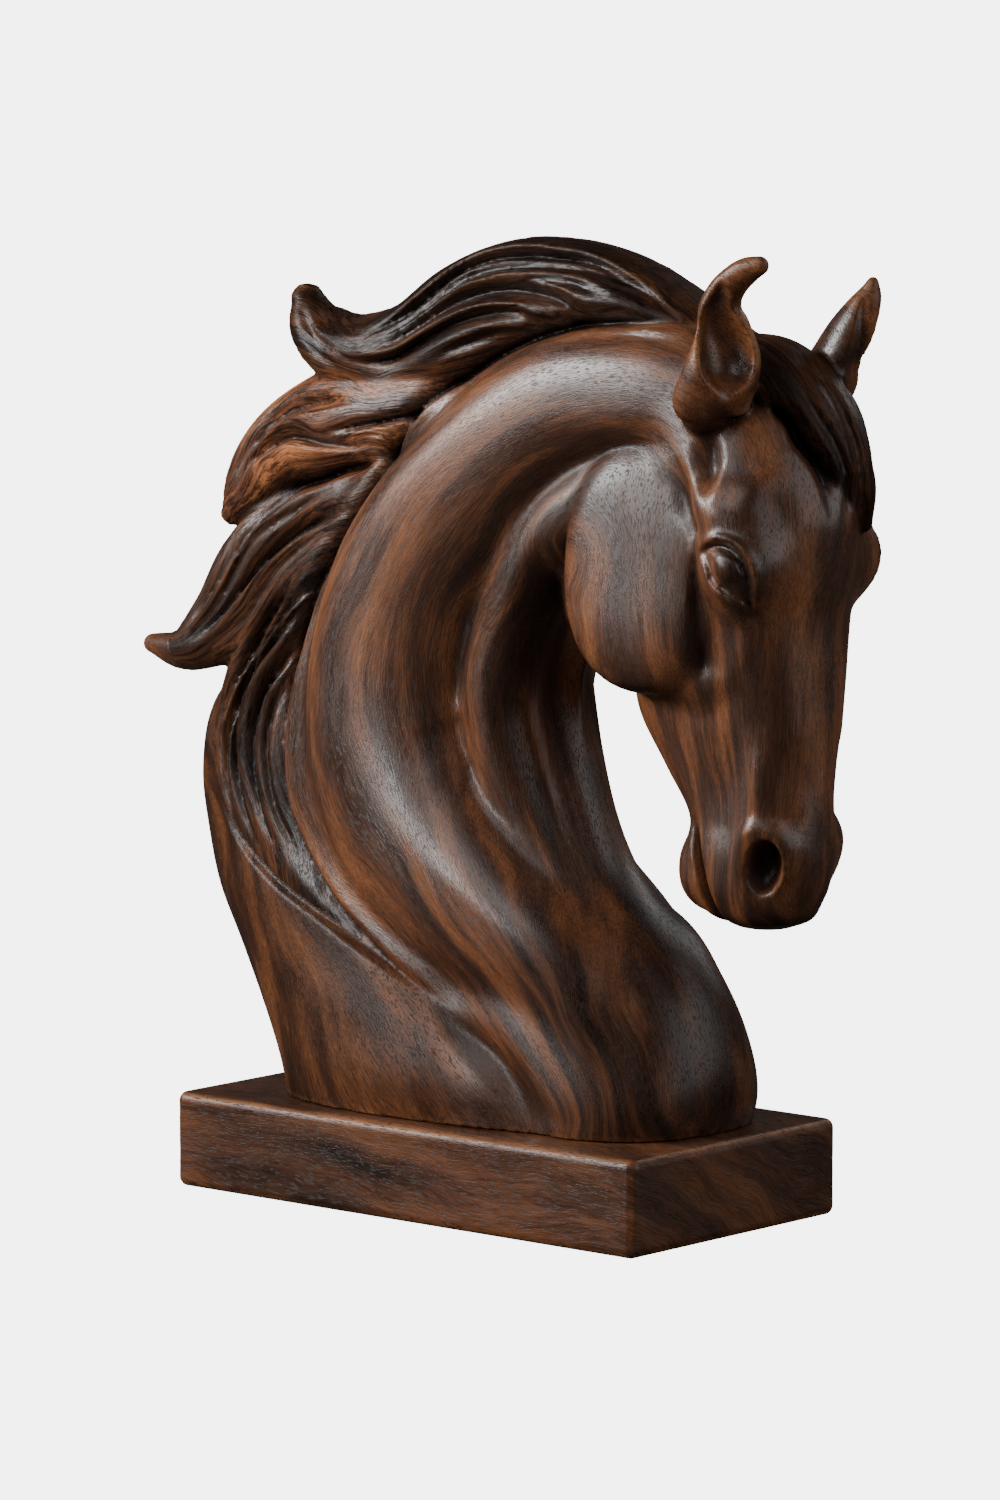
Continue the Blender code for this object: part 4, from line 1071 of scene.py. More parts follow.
    def crossings(self, cells: Array) -> Array:
        """Where the surface crosses each cell.

        Args:
            cells: Lowest corners of the cells.

        Returns:
            The mean of the crossings on each cell's edges, in cells.
        """
        values = {c: self.field[tuple((cells + c).T)].astype(float) for c in CORNERS}
        total = np.zeros((len(cells), 3))
        hits = np.zeros(len(cells))
        for corner in CORNERS:
            for axis in range(3):
                if corner[axis]:
                    continue
                other = tuple(1 if i == axis else v for i, v in enumerate(corner))
                first, second = values[corner], values[other]
                hit = (first < 0) != (second < 0)
                point = np.tile(np.array(corner, float), (len(cells), 1))
                point[:, axis] = np.where(hit, first / np.where(hit, first - second, 1), 0)
                total += np.where(hit[:, None], point, 0)
                hits += hit
        return total / hits[:, None]


def box_mean(values: Array, half: int, axis: int) -> Array:
    """Mean of the values in a short run along one axis.

    Args:
        values: The block of values.
        half: Values taken to each side.
        axis: Axis of the run.

    Returns:
        A block of the same shape.
    """
    pad = [(half + 1, half) if i == axis else (0, 0) for i in range(3)]
    total = np.cumsum(np.pad(values, pad, mode="edge"), axis=axis, dtype=np.float64)
    size = values.shape[axis]
    above = np.take(total, np.arange(2 * half + 1, 2 * half + 1 + size), axis=axis)
    below = np.take(total, np.arange(size), axis=axis)
    return ((above - below) / (2 * half + 1)).astype(np.float32)


def simple_cells() -> Array:
    """For each pattern of cell corners, whether a single plain sheet crosses the cell.

    Returns:
        One answer per pattern.
    """
    faces = [[c for c in CORNERS if c[axis] == side] for axis in range(3) for side in (0, 1)]
    simple = np.ones(2 ** len(CORNERS), bool)
    for code in range(len(simple)):
        inside = {c for bit, c in enumerate(CORNERS) if code >> bit & 1}
        for group in (inside, set(CORNERS) - inside):
            simple[code] &= connected(group)
        for face in faces:
            held = [c for c in face if c in inside]
            apart = len(held) == 2 and sum(a != b for a, b in zip(*held)) == 2
            simple[code] &= not apart
    return simple


def connected(group: set[tuple[int, ...]]) -> bool:
    """Whether the cell corners of a group are joined by cell edges.

    Args:
        group: The corners.

    Returns:
        True if one walk along cell edges reaches them all.
    """
    if not group:
        return True
    reached = [min(group)]
    for corner in reached:
        for other in sorted(group):
            if other not in reached and sum(a != b for a, b in zip(corner, other)) == 1:
                reached.append(other)
    return len(reached) == len(group)


def largest_body(points: Array, faces: Array) -> tuple[Array, Array]:
    """Keeps the biggest connected surface.

    Args:
        points: Places of the points.
        faces: Point numbers of each face.

    Returns:
        The points and faces that are kept.
    """
    label = np.arange(len(points))
    while True:
        lowest = label[faces].min(axis=1)
        new = label.copy()
        np.minimum.at(new, faces, lowest[:, None])
        new = new[new]
        if (new == label).all():
            break
        label = new
    names, sizes = np.unique(label[faces[:, 0]], return_counts=True)
    kept = faces[label[faces[:, 0]] == names[np.argmax(sizes)]]
    used, renumbered = np.unique(kept, return_inverse=True)
    return points[used], renumbered.reshape(kept.shape)


class GrainFlow:
    """Smooth map of how far across the flow of the grain each place lies, in side view.

    Attributes:
        EASE: How far the map may miss its points so that it bends less.
        BATCH: Most places worked out at a time.
    """

    EASE = 60.0
    BATCH = 20000

    def __init__(self, flow: tuple[tuple[float, Table], ...]) -> None:
        """Fits a thin plate through points of known value.

        Args:
            flow: For each line of flow, its value and its points.
        """
        self.centres = np.array([point for _, points in flow for point in points], float)
        values = np.array([value for value, points in flow for _ in points], float)
        size = len(values)
        plane = np.column_stack([np.ones(size), self.centres])
        matrix = np.zeros((size + 3, size + 3))
        matrix[:size, :size] = self.bend(self.centres) + np.eye(size) * self.EASE
        matrix[:size, size:] = plane
        matrix[size:, :size] = plane.T
        self.weights = np.linalg.solve(matrix, np.concatenate([values, np.zeros(3)]))

    def bend(self, places: Array) -> Array:
        """Thin plate term of each centre at each place."""
        gap = ((places[:, None, :] - self.centres[None]) ** 2).sum(axis=2)
        return 0.5 * gap * np.log(gap + LEAST_SHARE)

    def at(self, places: Array) -> Array:
        """Distance across the flow.

        Args:
            places: Rows of x, y and z.

        Returns:
            One value per row.
        """
        values = []
        for part in np.array_split(places[:, [0, 2]], max(1, len(places) // self.BATCH)):
            plane = np.column_stack([np.ones(len(part)), part])
            values.append(self.bend(part) @ self.weights[:-3] + plane @ self.weights[-3:])
        return np.concatenate(values)


class Bench:
    """Places and wires the nodes of one tree.

    Attributes:
        MIX: Inputs of a Mix node on colours: its share, and the first and second colour.
        MIXED: Its output.
        RANGE: Inputs of a Map Range node on vectors: the vector, the ends of its range, the results.
        RANGED: Its output.
    """

    MIX, MIXED = (0, 6, 7), 2
    RANGE, RANGED = (6, 7, 8, 9, 10), 1

    def __init__(self, tree: bpy.types.NodeTree) -> None:
        """Takes an empty tree."""
        self.tree = tree

    def node(self, kind: str, values: dict | None = None, **settings: object) -> bpy.types.Node:
        """Places a node.

        Args:
            kind: Blender's name of the node.
            values: A number, or a socket to wire, for each input.
            settings: Properties of the node.

        Returns:
            The node.
        """
        node = self.tree.nodes.new(kind)
        for name, value in settings.items():
            setattr(node, name, value)
        for key, value in (values or {}).items():
            if isinstance(value, Socket):
                self.tree.links.new(value, node.inputs[key])
            else:
                node.inputs[key].default_value = value
        return node

    def maths(self, operation: str, *values: Socket | float) -> Socket:
        """Result of a sum on numbers.

        Args:
            operation: Blender's name of the sum.
            values: What goes in.

        Returns:
            What comes out.
        """
        return self.node("ShaderNodeMath", dict(enumerate(values)), operation=operation).outputs[0]

    def vector(self, operation: str, *values: Socket | Triple) -> Socket:
        """Result of a sum on vectors.

        Args:
            operation: Blender's name of the sum.
            values: What goes in.

        Returns:
            What comes out.
        """
        return self.node("ShaderNodeVectorMath", dict(enumerate(values)), operation=operation).outputs[0]

    def scaled(self, vector: Socket, factor: Socket) -> Socket:
        """Vector made longer by a factor."""
        return self.node("ShaderNodeVectorMath", {0: vector, "Scale": factor}, operation="SCALE").outputs[0]

    def painted(self, name: str) -> Socket:
        """Value painted on the points of the piece."""
        return self.node("ShaderNodeAttribute", attribute_name=name).outputs["Fac"]

    def span(self, value: Socket, low: float, high: float, first: float = 0.0, last: float = 1.0) -> Socket:
        """Value stretched from one range to another and kept inside it.

        Args:
            value: The value.
            low: Low end of its range.
            high: High end of its range.
            first: Result at the low end.
            last: Result at the high end.

        Returns:
            The stretched value.
        """
        ends = {"Value": value, "From Min": low, "From Max": high, "To Min": first, "To Max": last}
        return self.node("ShaderNodeMapRange", ends).outputs[0]

    def spans(self, vector: Socket, low: float, high: float) -> Socket:
        """Each part of a vector, stretched from one range to between 0 and 1 and kept inside it.

        Args:
            vector: The vector.
            low: Low end of the range.
            high: High end of the range.

        Returns:
            The stretched vector.
        """
        ends = ((end, end, end) for end in (low, high, 0.0, 1.0))
        values = dict(zip(self.RANGE, (vector, *ends)))
        return self.node("ShaderNodeMapRange", values, data_type="FLOAT_VECTOR").outputs[self.RANGED]

    def mixed(self, share: Socket | float, first: object, second: object, blend: str = "MIX") -> Socket:
        """Two colours mixed.

        Args:
            share: Share of the second colour.
            first: First colour.
            second: Second colour.
            blend: How the second is laid on the first.

        Returns:
            The mixed colour.
        """
        values = dict(zip(self.MIX, (share, first, second)))
        return self.node("ShaderNodeMix", values, data_type="RGBA", blend_type=blend).outputs[self.MIXED]

    def noise(self, place: Socket, across: Socket, detail: float, rough: float = 0.55) -> Socket:
        """Uneven value that changes slowly with place and fast across the grain.

        Args:
            place: Place, already stretched.
            across: Distance across the grain, already stretched.
            detail: Finer layers.
            rough: Strength of the finer layers.

        Returns:
            The value, about a half on the whole.
        """
        values = {"Vector": place, "W": across, "Scale": 1.0, "Detail": detail, "Roughness": rough}
        return self.node("ShaderNodeTexNoise", values, noise_dimensions="4D").outputs[0]


def cleared(owner: bpy.types.Material | bpy.types.World) -> Bench:
    """Empties the node tree of a material or of the world.

    Args:
        owner: The material or the world.

    Returns:
        A bench on the empty tree.
    """
    owner.use_nodes = True
    owner.node_tree.nodes.clear()
    return Bench(owner.node_tree)


class Grain(Enum):
    """Ways the grain of a piece runs."""

    CARVED = "follows the flow of the carving"
    SAWN = "runs straight along a block"


@dataclass(frozen=True)
class WoodFinish:
    """Dark stained hardwood under a satin lacquer.

    The piece brings its own painted values: grain is the distance across the grain, mane is 1 on
    combed hair, hollow is about a half on flat wood and more where it is sheltered and darkens
    sheltered wood as painted shade, calm takes the broad bands away, and stain_and_shade and lustre
    weaken or strengthen the colour and the shine; stain_and_shade holds the wood's tone and, in a few
    patches, painted shade and painted highlight.

    Attributes:
        name: Name of the material.
        grain: How the grain runs.
        dark: Colour of the darkest bands.
        brown: Colour of the body of the wood.
        amber: Colour of the light streaks.
        worn: Colour of rubbed edges.
        band: Width of the broad bands, millimetres.
        streak: Width of the streaks, millimetres.
        fibre: Width of the fibres, millimetres.
        pore: Width of the pores, millimetres.
        strand: Width of the strands in the mane, millimetres.
        amber_share: How much of the wood the light streaks take.
        roughness: Roughness of the lacquer.
        relief: Height of the fibres that the lacquer leaves, metres.
    """

    name: str
    grain: Grain
    dark: Triple = (0.013, 0.0062, 0.0040)
    brown: Triple = (0.076, 0.0275, 0.0122)
    amber: Triple = (0.235, 0.0840, 0.0290)
    worn: Triple = (0.34, 0.15, 0.065)
    band: float = 15.0
    streak: float = 4.5
    fibre: float = 0.6
    pore: float = 0.45
    strand: float = 1.5
    amber_share: float = 0.7
    roughness: float = 0.31
    relief: float = 0.00012

    # Length of the marks along the grain in millimetres, and their finer layers
    BANDS, STREAKS, FIBRES, PORES, STRANDS = (75.0, 1.0), (40.0, 3.0), (9.0, 2.0), (2.6, 0.0), (60.0, 2.0)
    # Shares of the bands, the streaks and the fibres in the figure, whose middle is CALM
    BAND_SHARE, STREAK_SHARE, FIBRE_SHARE, CALM = 0.76, 0.24, 0.14, 0.46
    # Ranges of the figure in which the body and the amber come up, and range of a pore
    BODY_RANGE, AMBER_RANGE, PORE_RANGE = (0.30, 0.55), (0.48, 0.68), (0.57, 0.70)
    # Ranges of fibres, streaks and strands, and what they do to colour, roughness and height
    FIBRE_SHADE, FIBRE_ROUGH, FIBRE_HEIGHT = (0.25, 0.75, 0.68, 1.32), (0.3, 0.7, -0.04, 0.05), (0.25, 0.75)
    STREAK_ROUGH = (0.3, 0.7, -0.05, 0.06)
    STRAND_SHADE, STRAND_HEIGHT = (0.38, 0.55, 0.25, 1.12), (0.3, 0.6, 0.0, 2.6)
    # Ranges of the shelter: hollows are darkened as painted shade and shine less, ridges shine less and wear
    HOLLOW_STAIN, HOLLOW_SHINE = (0.53, 0.69, 1.0, 0.08), (0.52, 0.72, 0.5, 0.1)
    RIDGE_SHINE, RIDGE_WEAR, WORN_STREAKS = (0.34, 0.45, 0.4, 1.0), (0.38, 0.20), (0.35, 0.7, 0.1, 0.6)
    # How a pore changes colour, roughness and height, and how much rougher the mane is
    PORE_DARK, PORE_ROUGH, PORE_HEIGHT, MANE_ROUGH = 0.65, 0.25, -0.8, 0.03
    # Sway of the grain: its stretch, its origin, its finer layers, its reach in millimetres
    CARVED_SWAY = ((0.010, 0.015, 0.010), 0.0, 1.0, 9.0)
    SAWN_SWAY = ((0.008, 0.02, 0.02), 5.0, 2.0, 12.0)
    SWAY_RANGE = (0.2, 0.8)
    # Slant of the sawn grain to the sides and along the block
    SLANT_ACROSS, SLANT_ALONG = 0.55, 0.04
    # Strength of the relief, and a metre in millimetres
    BUMP, METRE = 0.3, 1000.0

    def across(self, bench: Bench, place: Socket) -> Socket:
        """Distance across the grain in millimetres.

        Args:
            bench: Where the nodes go.
            place: Place on the piece, millimetres.

        Returns:
            The distance.
        """
        if self.grain is Grain.CARVED:
            flow, sway = bench.painted("grain"), self.CARVED_SWAY
        else:
            parts, sway = bench.node("ShaderNodeSeparateXYZ", {0: place}).outputs, self.SAWN_SWAY
            flow = bench.maths("MULTIPLY_ADD", parts[1], self.SLANT_ACROSS, parts[2])
            flow = bench.maths("MULTIPLY_ADD", parts[0], self.SLANT_ALONG, flow)
        stretch, origin, layers, reach = sway
        swaying = bench.noise(bench.vector("MULTIPLY", place, stretch), origin, layers)
        return bench.maths("ADD", flow, bench.span(swaying, *self.SWAY_RANGE, -reach, reach))

    def layer(self, bench: Bench, place: Socket, across: Socket, width: float, marks: tuple[float, float]) -> Socket:
        """One layer of figure in the wood.

        Args:
            bench: Where the nodes go.
            place: Place on the piece, millimetres.
            across: Distance across the grain, millimetres.
            width: Width of its marks, millimetres.
            marks: Length of its marks in millimetres, and its finer layers.

        Returns:
            The value, about a half on the whole.
        """
        length, layers = marks
        sideways = 1 / width if self.grain is Grain.CARVED else 1 / length
        slow = bench.vector("MULTIPLY", place, (1 / length, sideways, 1 / length))
        return bench.noise(slow, bench.maths("MULTIPLY", across, 1 / width), layers)

    def made(self) -> bpy.types.Material:
        """Makes the material with its nodes.

        Returns:
            The material.
        """
        material = bpy.data.materials.new(self.name)
        bench = cleared(material)
        place = bench.node("ShaderNodeTexCoord").outputs["Object"]
        place = bench.vector("MULTIPLY", place, (self.METRE, self.METRE, self.METRE))
        across = self.across(bench, place)
        widths = (self.band, self.streak, self.fibre, self.pore, self.strand)
        marks = (self.BANDS, self.STREAKS, self.FIBRES, self.PORES, self.STRANDS)
        bands, streaks, fibres, pores, strands = (
            self.layer(bench, place, across, width, mark) for width, mark in zip(widths, marks)
        )
        calmed = bench.maths("SUBTRACT", self.CALM, bands)
        bands = bench.maths("MULTIPLY_ADD", calmed, bench.painted("calm"), bands)
        pore = bench.span(pores, *self.PORE_RANGE)
        mane, hollow = bench.painted("mane"), bench.painted("hollow")

        colour = self.colour(bench, bands, streaks, fibres, hollow)
        combed = bench.mixed(1.0, colour, bench.span(strands, *self.STRAND_SHADE), "MULTIPLY")
        colour = bench.mixed(mane, colour, combed)
        colour = bench.mixed(bench.maths("MULTIPLY", pore, self.PORE_DARK), colour, (*self.dark, 1.0))

        low, high, smoother, rougher = self.STREAK_ROUGH
        rough = bench.span(streaks, low, high, self.roughness + smoother, self.roughness + rougher)
        rough = bench.maths("ADD", rough, bench.span(fibres, *self.FIBRE_ROUGH))
        rough = bench.maths("MULTIPLY_ADD", pore, self.PORE_ROUGH, rough)
        rough = bench.maths("MULTIPLY_ADD", mane, self.MANE_ROUGH, rough)

        height = bench.maths("MULTIPLY_ADD", pore, self.PORE_HEIGHT, bench.span(fibres, *self.FIBRE_HEIGHT))
        comb = bench.maths("MULTIPLY", mane, bench.span(strands, *self.STRAND_HEIGHT))
        height = bench.maths("ADD", height, comb)
        bump = bench.node("ShaderNodeBump", {"Strength": self.BUMP, "Distance": self.relief, "Height": height})

        gloss = bench.maths("MULTIPLY", bench.painted("lustre"), bench.span(hollow, *self.HOLLOW_SHINE))
        gloss = bench.maths("MULTIPLY", gloss, bench.span(hollow, *self.RIDGE_SHINE))
        shader = bench.node(
            "ShaderNodeBsdfPrincipled",
            {"Base Color": colour, "Roughness": rough, "Normal": bump.outputs[0], "Specular IOR Level": gloss},
        )
        bench.node("ShaderNodeOutputMaterial", {"Surface": shader.outputs[0]})
        return material

    def colour(self, bench: Bench, bands: Socket, streaks: Socket, fibres: Socket, hollow: Socket) -> Socket:
        """Colour of the stained wood before its strands and pores.

        Args:
            bench: Where the nodes go.
            bands: Broad bands.
            streaks: Streaks.
            fibres: Fibres.
            hollow: How sheltered the surface is; sheltered places are darkened as painted shade.

        Returns:
            The colour.
        """
        figure = bench.maths("MULTIPLY", bands, self.BAND_SHARE)
        figure = bench.maths("MULTIPLY_ADD", streaks, self.STREAK_SHARE, figure)
        figure = bench.maths("SUBTRACT", figure, self.FIBRE_SHARE / 2)
        figure = bench.maths("MULTIPLY_ADD", fibres, self.FIBRE_SHARE, figure)
        body = bench.mixed(bench.span(figure, *self.BODY_RANGE), (*self.dark, 1.0), (*self.brown, 1.0))
        light = bench.maths("MULTIPLY", bench.span(figure, *self.AMBER_RANGE), self.amber_share)
        body = bench.mixed(light, body, (*self.amber, 1.0))
        body = bench.mixed(1.0, body, bench.span(fibres, *self.FIBRE_SHADE), "MULTIPLY")
        # Hollows are darkened here as painted shade, times the painted tone of each place.
        stain_and_shade = bench.maths("MULTIPLY", bench.painted("stain_and_shade"), bench.span(hollow, *self.HOLLOW_STAIN))
        body = bench.mixed(1.0, body, stain_and_shade, "MULTIPLY")
        rubbed = bench.maths(
            "MULTIPLY", bench.span(hollow, *self.RIDGE_WEAR), bench.span(streaks, *self.WORN_STREAKS)
        )
        return bench.mixed(rubbed, body, (*self.worn, 1.0))


def new_tree(name: str, sizes: dict[str, float]) -> tuple[bpy.types.NodeTree, Bench, bpy.types.Node]:
    """Starts a Geometry Nodes tree with named inputs.

    Args:
        name: Name of the tree.
        sizes: Name and value of each size that goes in.

    Returns:
        The tree, its bench and its input node.
    """
    tree = bpy.data.node_groups.new(name, "GeometryNodeTree")
    tree.interface.new_socket("Geometry", in_out="INPUT", socket_type="NodeSocketGeometry")
    for size, value in sizes.items():
        tree.interface.new_socket(size, in_out="INPUT", socket_type="NodeSocketFloat").default_value = value
    tree.interface.new_socket("Wood", in_out="INPUT", socket_type="NodeSocketMaterial")
    tree.interface.new_socket("Geometry", in_out="OUTPUT", socket_type="NodeSocketGeometry")
    bench = Bench(tree)
    return tree, bench, bench.node("NodeGroupInput")


def finish_tree(bench: Bench, geometry: Socket, wood: Socket) -> None:
    """Ends a Geometry Nodes tree in plain geometry with its wood.

    Args:
        bench: Where the nodes go.
        geometry: What the tree has made.
        wood: The material.
    """
    real = bench.node("GeometryNodeRealizeInstances", {"Geometry": geometry})
    dressed = bench.node("GeometryNodeSetMaterial", {"Geometry": real.outputs[0], "Material": wood})
    bench.node("NodeGroupOutput", {0: dressed.outputs[0]})


def run_tree(piece: bpy.types.Object, tree: bpy.types.NodeTree, values: dict[str, object]) -> None:
    """Puts a tree on a piece with its inputs set.

    Args:
        piece: The piece.
        tree: The tree.
        values: Value of each named input.
    """
    modifier = piece.modifiers.new(tree.name, "NODES")
    modifier.node_group = tree
    for item in tree.interface.items_tree:
        if item.item_type == "SOCKET" and item.in_out == "INPUT" and item.name in values:
            modifier[item.identifier] = values[item.name]


def placed(name: str, data: bpy.types.ID) -> bpy.types.Object:
    """Puts a new object in the scene.

    Args:
        name: Name of the object.
        data: Its mesh, lamp or lens.

    Returns:
        The object.
    """
    made = bpy.data.objects.new(name, data)
    bpy.context.scene.collection.objects.link(made)
    return made


def points_of(mesh: bpy.types.Mesh) -> Array:
    """Where the points of a mesh lie.

    Args:
        mesh: The mesh.

    Returns:
        Rows of x, y and z in metres.
    """
    places = np.empty(3 * len(mesh.vertices))
    mesh.vertices.foreach_get("co", places)
    return places.reshape(-1, 3)


def paint(mesh: bpy.types.Mesh, name: str, values: Array) -> None:
    """Stores one value per point of a mesh.

    Args:
        mesh: The mesh.
        name: Name that the wood reads the values by.
        values: The values.
    """
    layer = mesh.attributes.get(name) or mesh.attributes.new(name, "FLOAT", "POINT")
    layer.data.foreach_set("value", values.astype(np.float32))


def plain_copy(piece: bpy.types.Object, name: str) -> bpy.types.Object:
    """Turns a piece with modifiers into a plain mesh, and removes the old one.

    Args:
        piece: The piece with its modifiers.
        name: Name of the new piece.

    Returns:
        The new piece.
    """
    evaluated = piece.evaluated_get(bpy.context.evaluated_depsgraph_get())
    mesh = bpy.data.meshes.new_from_object(evaluated)
    bpy.data.objects.remove(piece, do_unlink=True)
    mesh.name = name
    return placed(name, mesh)


@dataclass(frozen=True)
class Patch:
    """Soft-edged place on both sides where the wood is darker, lighter or shinier than round about.

    Attributes:
        centre: Its middle, in steps, on the side where y is positive.
        radii: How far it reaches along x, y and z, in steps.
        stain_and_shade: Strength of the colour there, below 1 as painted shade, above 1 as painted highlight.
        lustre: Strength of its shine there.
    """

    centre: Triple
    radii: Triple
    stain_and_shade: float
    lustre: float

    def share(self, places: Array) -> Array:
        """How much each place lies in the patch, from 0 to 1."""
        near = np.column_stack((places[:, 0], np.abs(places[:, 1]), places[:, 2]))
        return np.exp(-np.square((near - self.centre) / self.radii).sum(1))


@dataclass(frozen=True)
class Form:
    """Rounded form or hollow that has its like on the other side.

    Attributes:
        centre: Its middle, in steps.
        radii: Half its length, thickness and height.
        edge: Fillet where it meets the bust, or rounding of a hollow's rim.
        turns: Degrees it turns in side view, faces forward and tilts up.
        powers: Fullness of its outline and of its face.
    """

    centre: Triple
    radii: Triple
    edge: float
    turns: Triple = (0, 0, 0)
    powers: tuple[float, float] = (2.0, 2.0)

    def solid(self, side: int) -> Round:
        """The solid to add or to cut.

        Args:
            side: 1 for this one, -1 for its like.

        Returns:
            The solid.
        """
        x, y, z = self.centre
        about_y, forward, up = self.turns
        return Round((x, side * y, z), self.radii, turning(about_y, -side * forward, side * up), *self.powers)


@dataclass
class HorseHead:
    """The carved bust, in steps where nothing else is said.

    Attributes:
        low: Lowest corner of the block it is carved from.
        high: Highest corner of the block.
        step: Size of a cell of the block.
        triangles: Faces of the finished mesh.
        sanding: How many times the carving is sanded.
        chest_blend: Blend of the chest.
        head_blend: Blend of the head.
        ear_blend: Blend of the ears.
        ear_rim: Rounding of the rims of their hollows.
        crown_blend: Blend of the lock behind the ears.
        lock_blend: Blend of the other locks of the mane.
        forelock_blend: Blend of the forelock.
        scoop: Hollow in the near side of the crown lock, on this side alone.
        jowl: Jowls.
        chin: Chin, in the middle.
        eyeball: Eyeballs.
        nostril: Nostrils.
        hair_depth: Depth of the comb marks in the mane, metres.
        hair_spacing: Distance between comb marks, millimetres.
        wood: Its finish.
    """

    low: Triple = (-178.0, -66.0, -1.9)
    high: Triple = (182.0, 66.0, 342.0)
    step: float = 1.05
    triangles: int = 192000
    sanding: int = 1
    chest_blend: float = 4.0
    head_blend: float = 6.0
    ear_blend: float = 1.5
    ear_rim: float = 1.0
    crown_blend: float = 3.0
    lock_blend: float = 2.4
    forelock_blend: float = 3.0
    scoop: Form = Form((-66, -24, 309), (26, 17, 13), 2.0, (-8, 0, 0))
    jowl: Form = Form((93.5, 16, 216.5), (37.5, 22.5, 48), 2.2, (0, 5, 5), (2.3, 3.8))
    chin: Form = Form((103, 0, 101), (9.5, 13, 14), 5.0)
    eyeball: Form = Form((141.6, 33.6, 221.2), (9.6, 9.4, 9.2), 0.3)
    nostril: Form = Form((145.4, 23.5, 107.0), (7.6, 14.0, 12.0), 1.2, (14, 22, 0))
    hair_depth: float = 0.0002
    hair_spacing: float = 2.6
    wood: WoodFinish = WoodFinish("bust_wood", Grain.CARVED)

    # Muscles of the neck and throat, and their blends
    ROLLS = ((NECK_ROLL, 3.0), (THROAT_ROLL, 7.0), (WINDPIPE, 4.0))
    # Cheek, eye socket, brow and muzzle
    FACE = (
        Form((110, 13, 176), (24, 16, 13), 6.0, (10, 0, 0)),
        Form((141, 28, 222), (16, 13, 19), 8.0),
        Form((134, 27, 240), (15, 12, 12), 8.0),
        Form((142, 14.5, 112), (11, 8.6, 14.5), 4.5, (8, 0, 0)),
    )
    # Ears, their hollows and the way they face
    EARS = ((NEAR_EAR, NEAR_EAR_HOLLOW, NEAR_EAR_FACING), (FAR_EAR, FAR_EAR_HOLLOW, FAR_EAR_FACING))
    LOCKS = (MIDDLE_LOCK, LOW_LOCK, NAPE)
    # Lines carved into the bust, in this order, and where they are drawn from
    FROM_SIDE, FROM_HIGH = Sight(), Sight(elevation=35.0)
    FROM_CAMERA = Sight(CAMERA_AZIMUTH, CAMERA_ELEVATION)
    FROM_CAMERA_ONLY = Sight(CAMERA_AZIMUTH, CAMERA_ELEVATION, both_sides=False)
    RELIEFS = (
        (BORDER_LIPS, Relief.LIP, FROM_SIDE),
        (STRAND_LIPS, Relief.LIP, FROM_SIDE),
        (CROWN_LIPS, Relief.LIP, FROM_HIGH),
        (FORELOCK_LIPS, Relief.LIP, FROM_CAMERA_ONLY),
        (JOWL_LIPS, Relief.LIP, FROM_SIDE),
        (SOFT_LINES, Relief.SOFT, FROM_SIDE),
        (RIM_LINES, Relief.SOFT, FROM_SIDE),
        (EYE_LINES, Relief.SOFT, FROM_CAMERA),
        (FAR_EAR_LIPS, Relief.LIP, FROM_CAMERA_ONLY),
        (SHARP_GROOVES, Relief.SHARP, FROM_SIDE),
    )

    # Colour and shine of the cloak, the foot of the chest and the jowls
    CLOAK_FINISH, CHEST_FINISH, JOWL_FINISH = (0.62, 0.25), (0.62, 0.6), (0.62, 0.62)
    # Colour and shine of each lock. Over REACH steps one gives way to the next, as far as FARTHEST
    HAIR_FINISH = (
        (CROWN_LOCK, 0.36, 0.45),
        (MIDDLE_LOCK, 2.2, 0.7),
        (LOW_LOCK, 0.72, 0.6),
        (NAPE, 0.55, 0.5),
        (FORELOCK, 0.3, 0.3),
    )
    HAIR_REACH, HAIR_FARTHEST, LEAST_WEIGHT = 3, 40, 1e-6
    # Where the wood is duller or shinier than round about, and where its colour holds painted shade and painted
    # highlight
    SHINE_AND_SHADE_PATCHES = (
        # Duller, and a little darker as painted shade, beside the low end of the cloak's line
        Patch((0, 42, 53), (28, 20, 12), 0.9, 0.12),
        Patch((42, 42, 19), (18, 20, 16), 1.0, 0.5),
        # Darker on the throat as painted shade
        Patch((36, 10, 165), (13, 16, 34), 0.62, 0.5),
        Patch((130, 30, 264), (9, 12, 12), 1.0, 0.6),
        Patch((153, 25, 246), (13, 14, 15), 1.0, 0.5),
        # Shinier, and a little lighter as painted highlight, on the muzzle
        Patch((134, 20, 138), (9, 12, 9), 1.1, 1.9),
        Patch((120, 18, 126), (7, 12, 9), 1.1, 1.5),
        # Shinier, and a little lighter as painted highlight, along the lower neck
        Patch((-22, 43, 108), (14, 20, 13), 1.05, 1.8),
        Patch((4, 44, 90), (14, 20, 12), 1.05, 1.8),
        Patch((32, 45, 75), (14, 20, 12), 1.05, 1.8),
    )
    # Jowls: how calm their figure is, where the grain counts from, softness of their edge
    JOWL_CALM, JOWL_GRAIN, JOWL_EDGE = 0.75, 205.0, 6
    # The mane reaches down to LOW and forward to FRONT, and lies behind BACK below TOP
    MANE_LOW, MANE_FRONT, MANE_BACK, MANE_TOP, HAIR_EDGE = 60, 115, -40, 250, 2
    # The cloak's line bounds the mane behind LINE. The cloak fades over FADE up to FRONT, and ends at TOP
    CLOAK_LINE, CLOAK_FRONT, CLOAK_FADE, CLOAK_TOP, CLOAK_EDGE = 20, 34, 26, 130, 4
    # The foot of the chest begins at BACK and at TOP, and is full after FADE and FALL
    CHEST_BACK, CHEST_FADE, CHEST_TOP, CHEST_FALL = 25, 35, 105, 30
    # Reaches in steps over which shelter is felt, and their shares
    SHELTER = ((2.0, 0.5), (4.0, 0.3), (10.0, 0.2))
    # Stretch of the comb marks per metre and the range that makes them
    COMB_STRETCH, COMB_RANGE = (9.0, 9.0, 9.0), (0.3, 0.7)

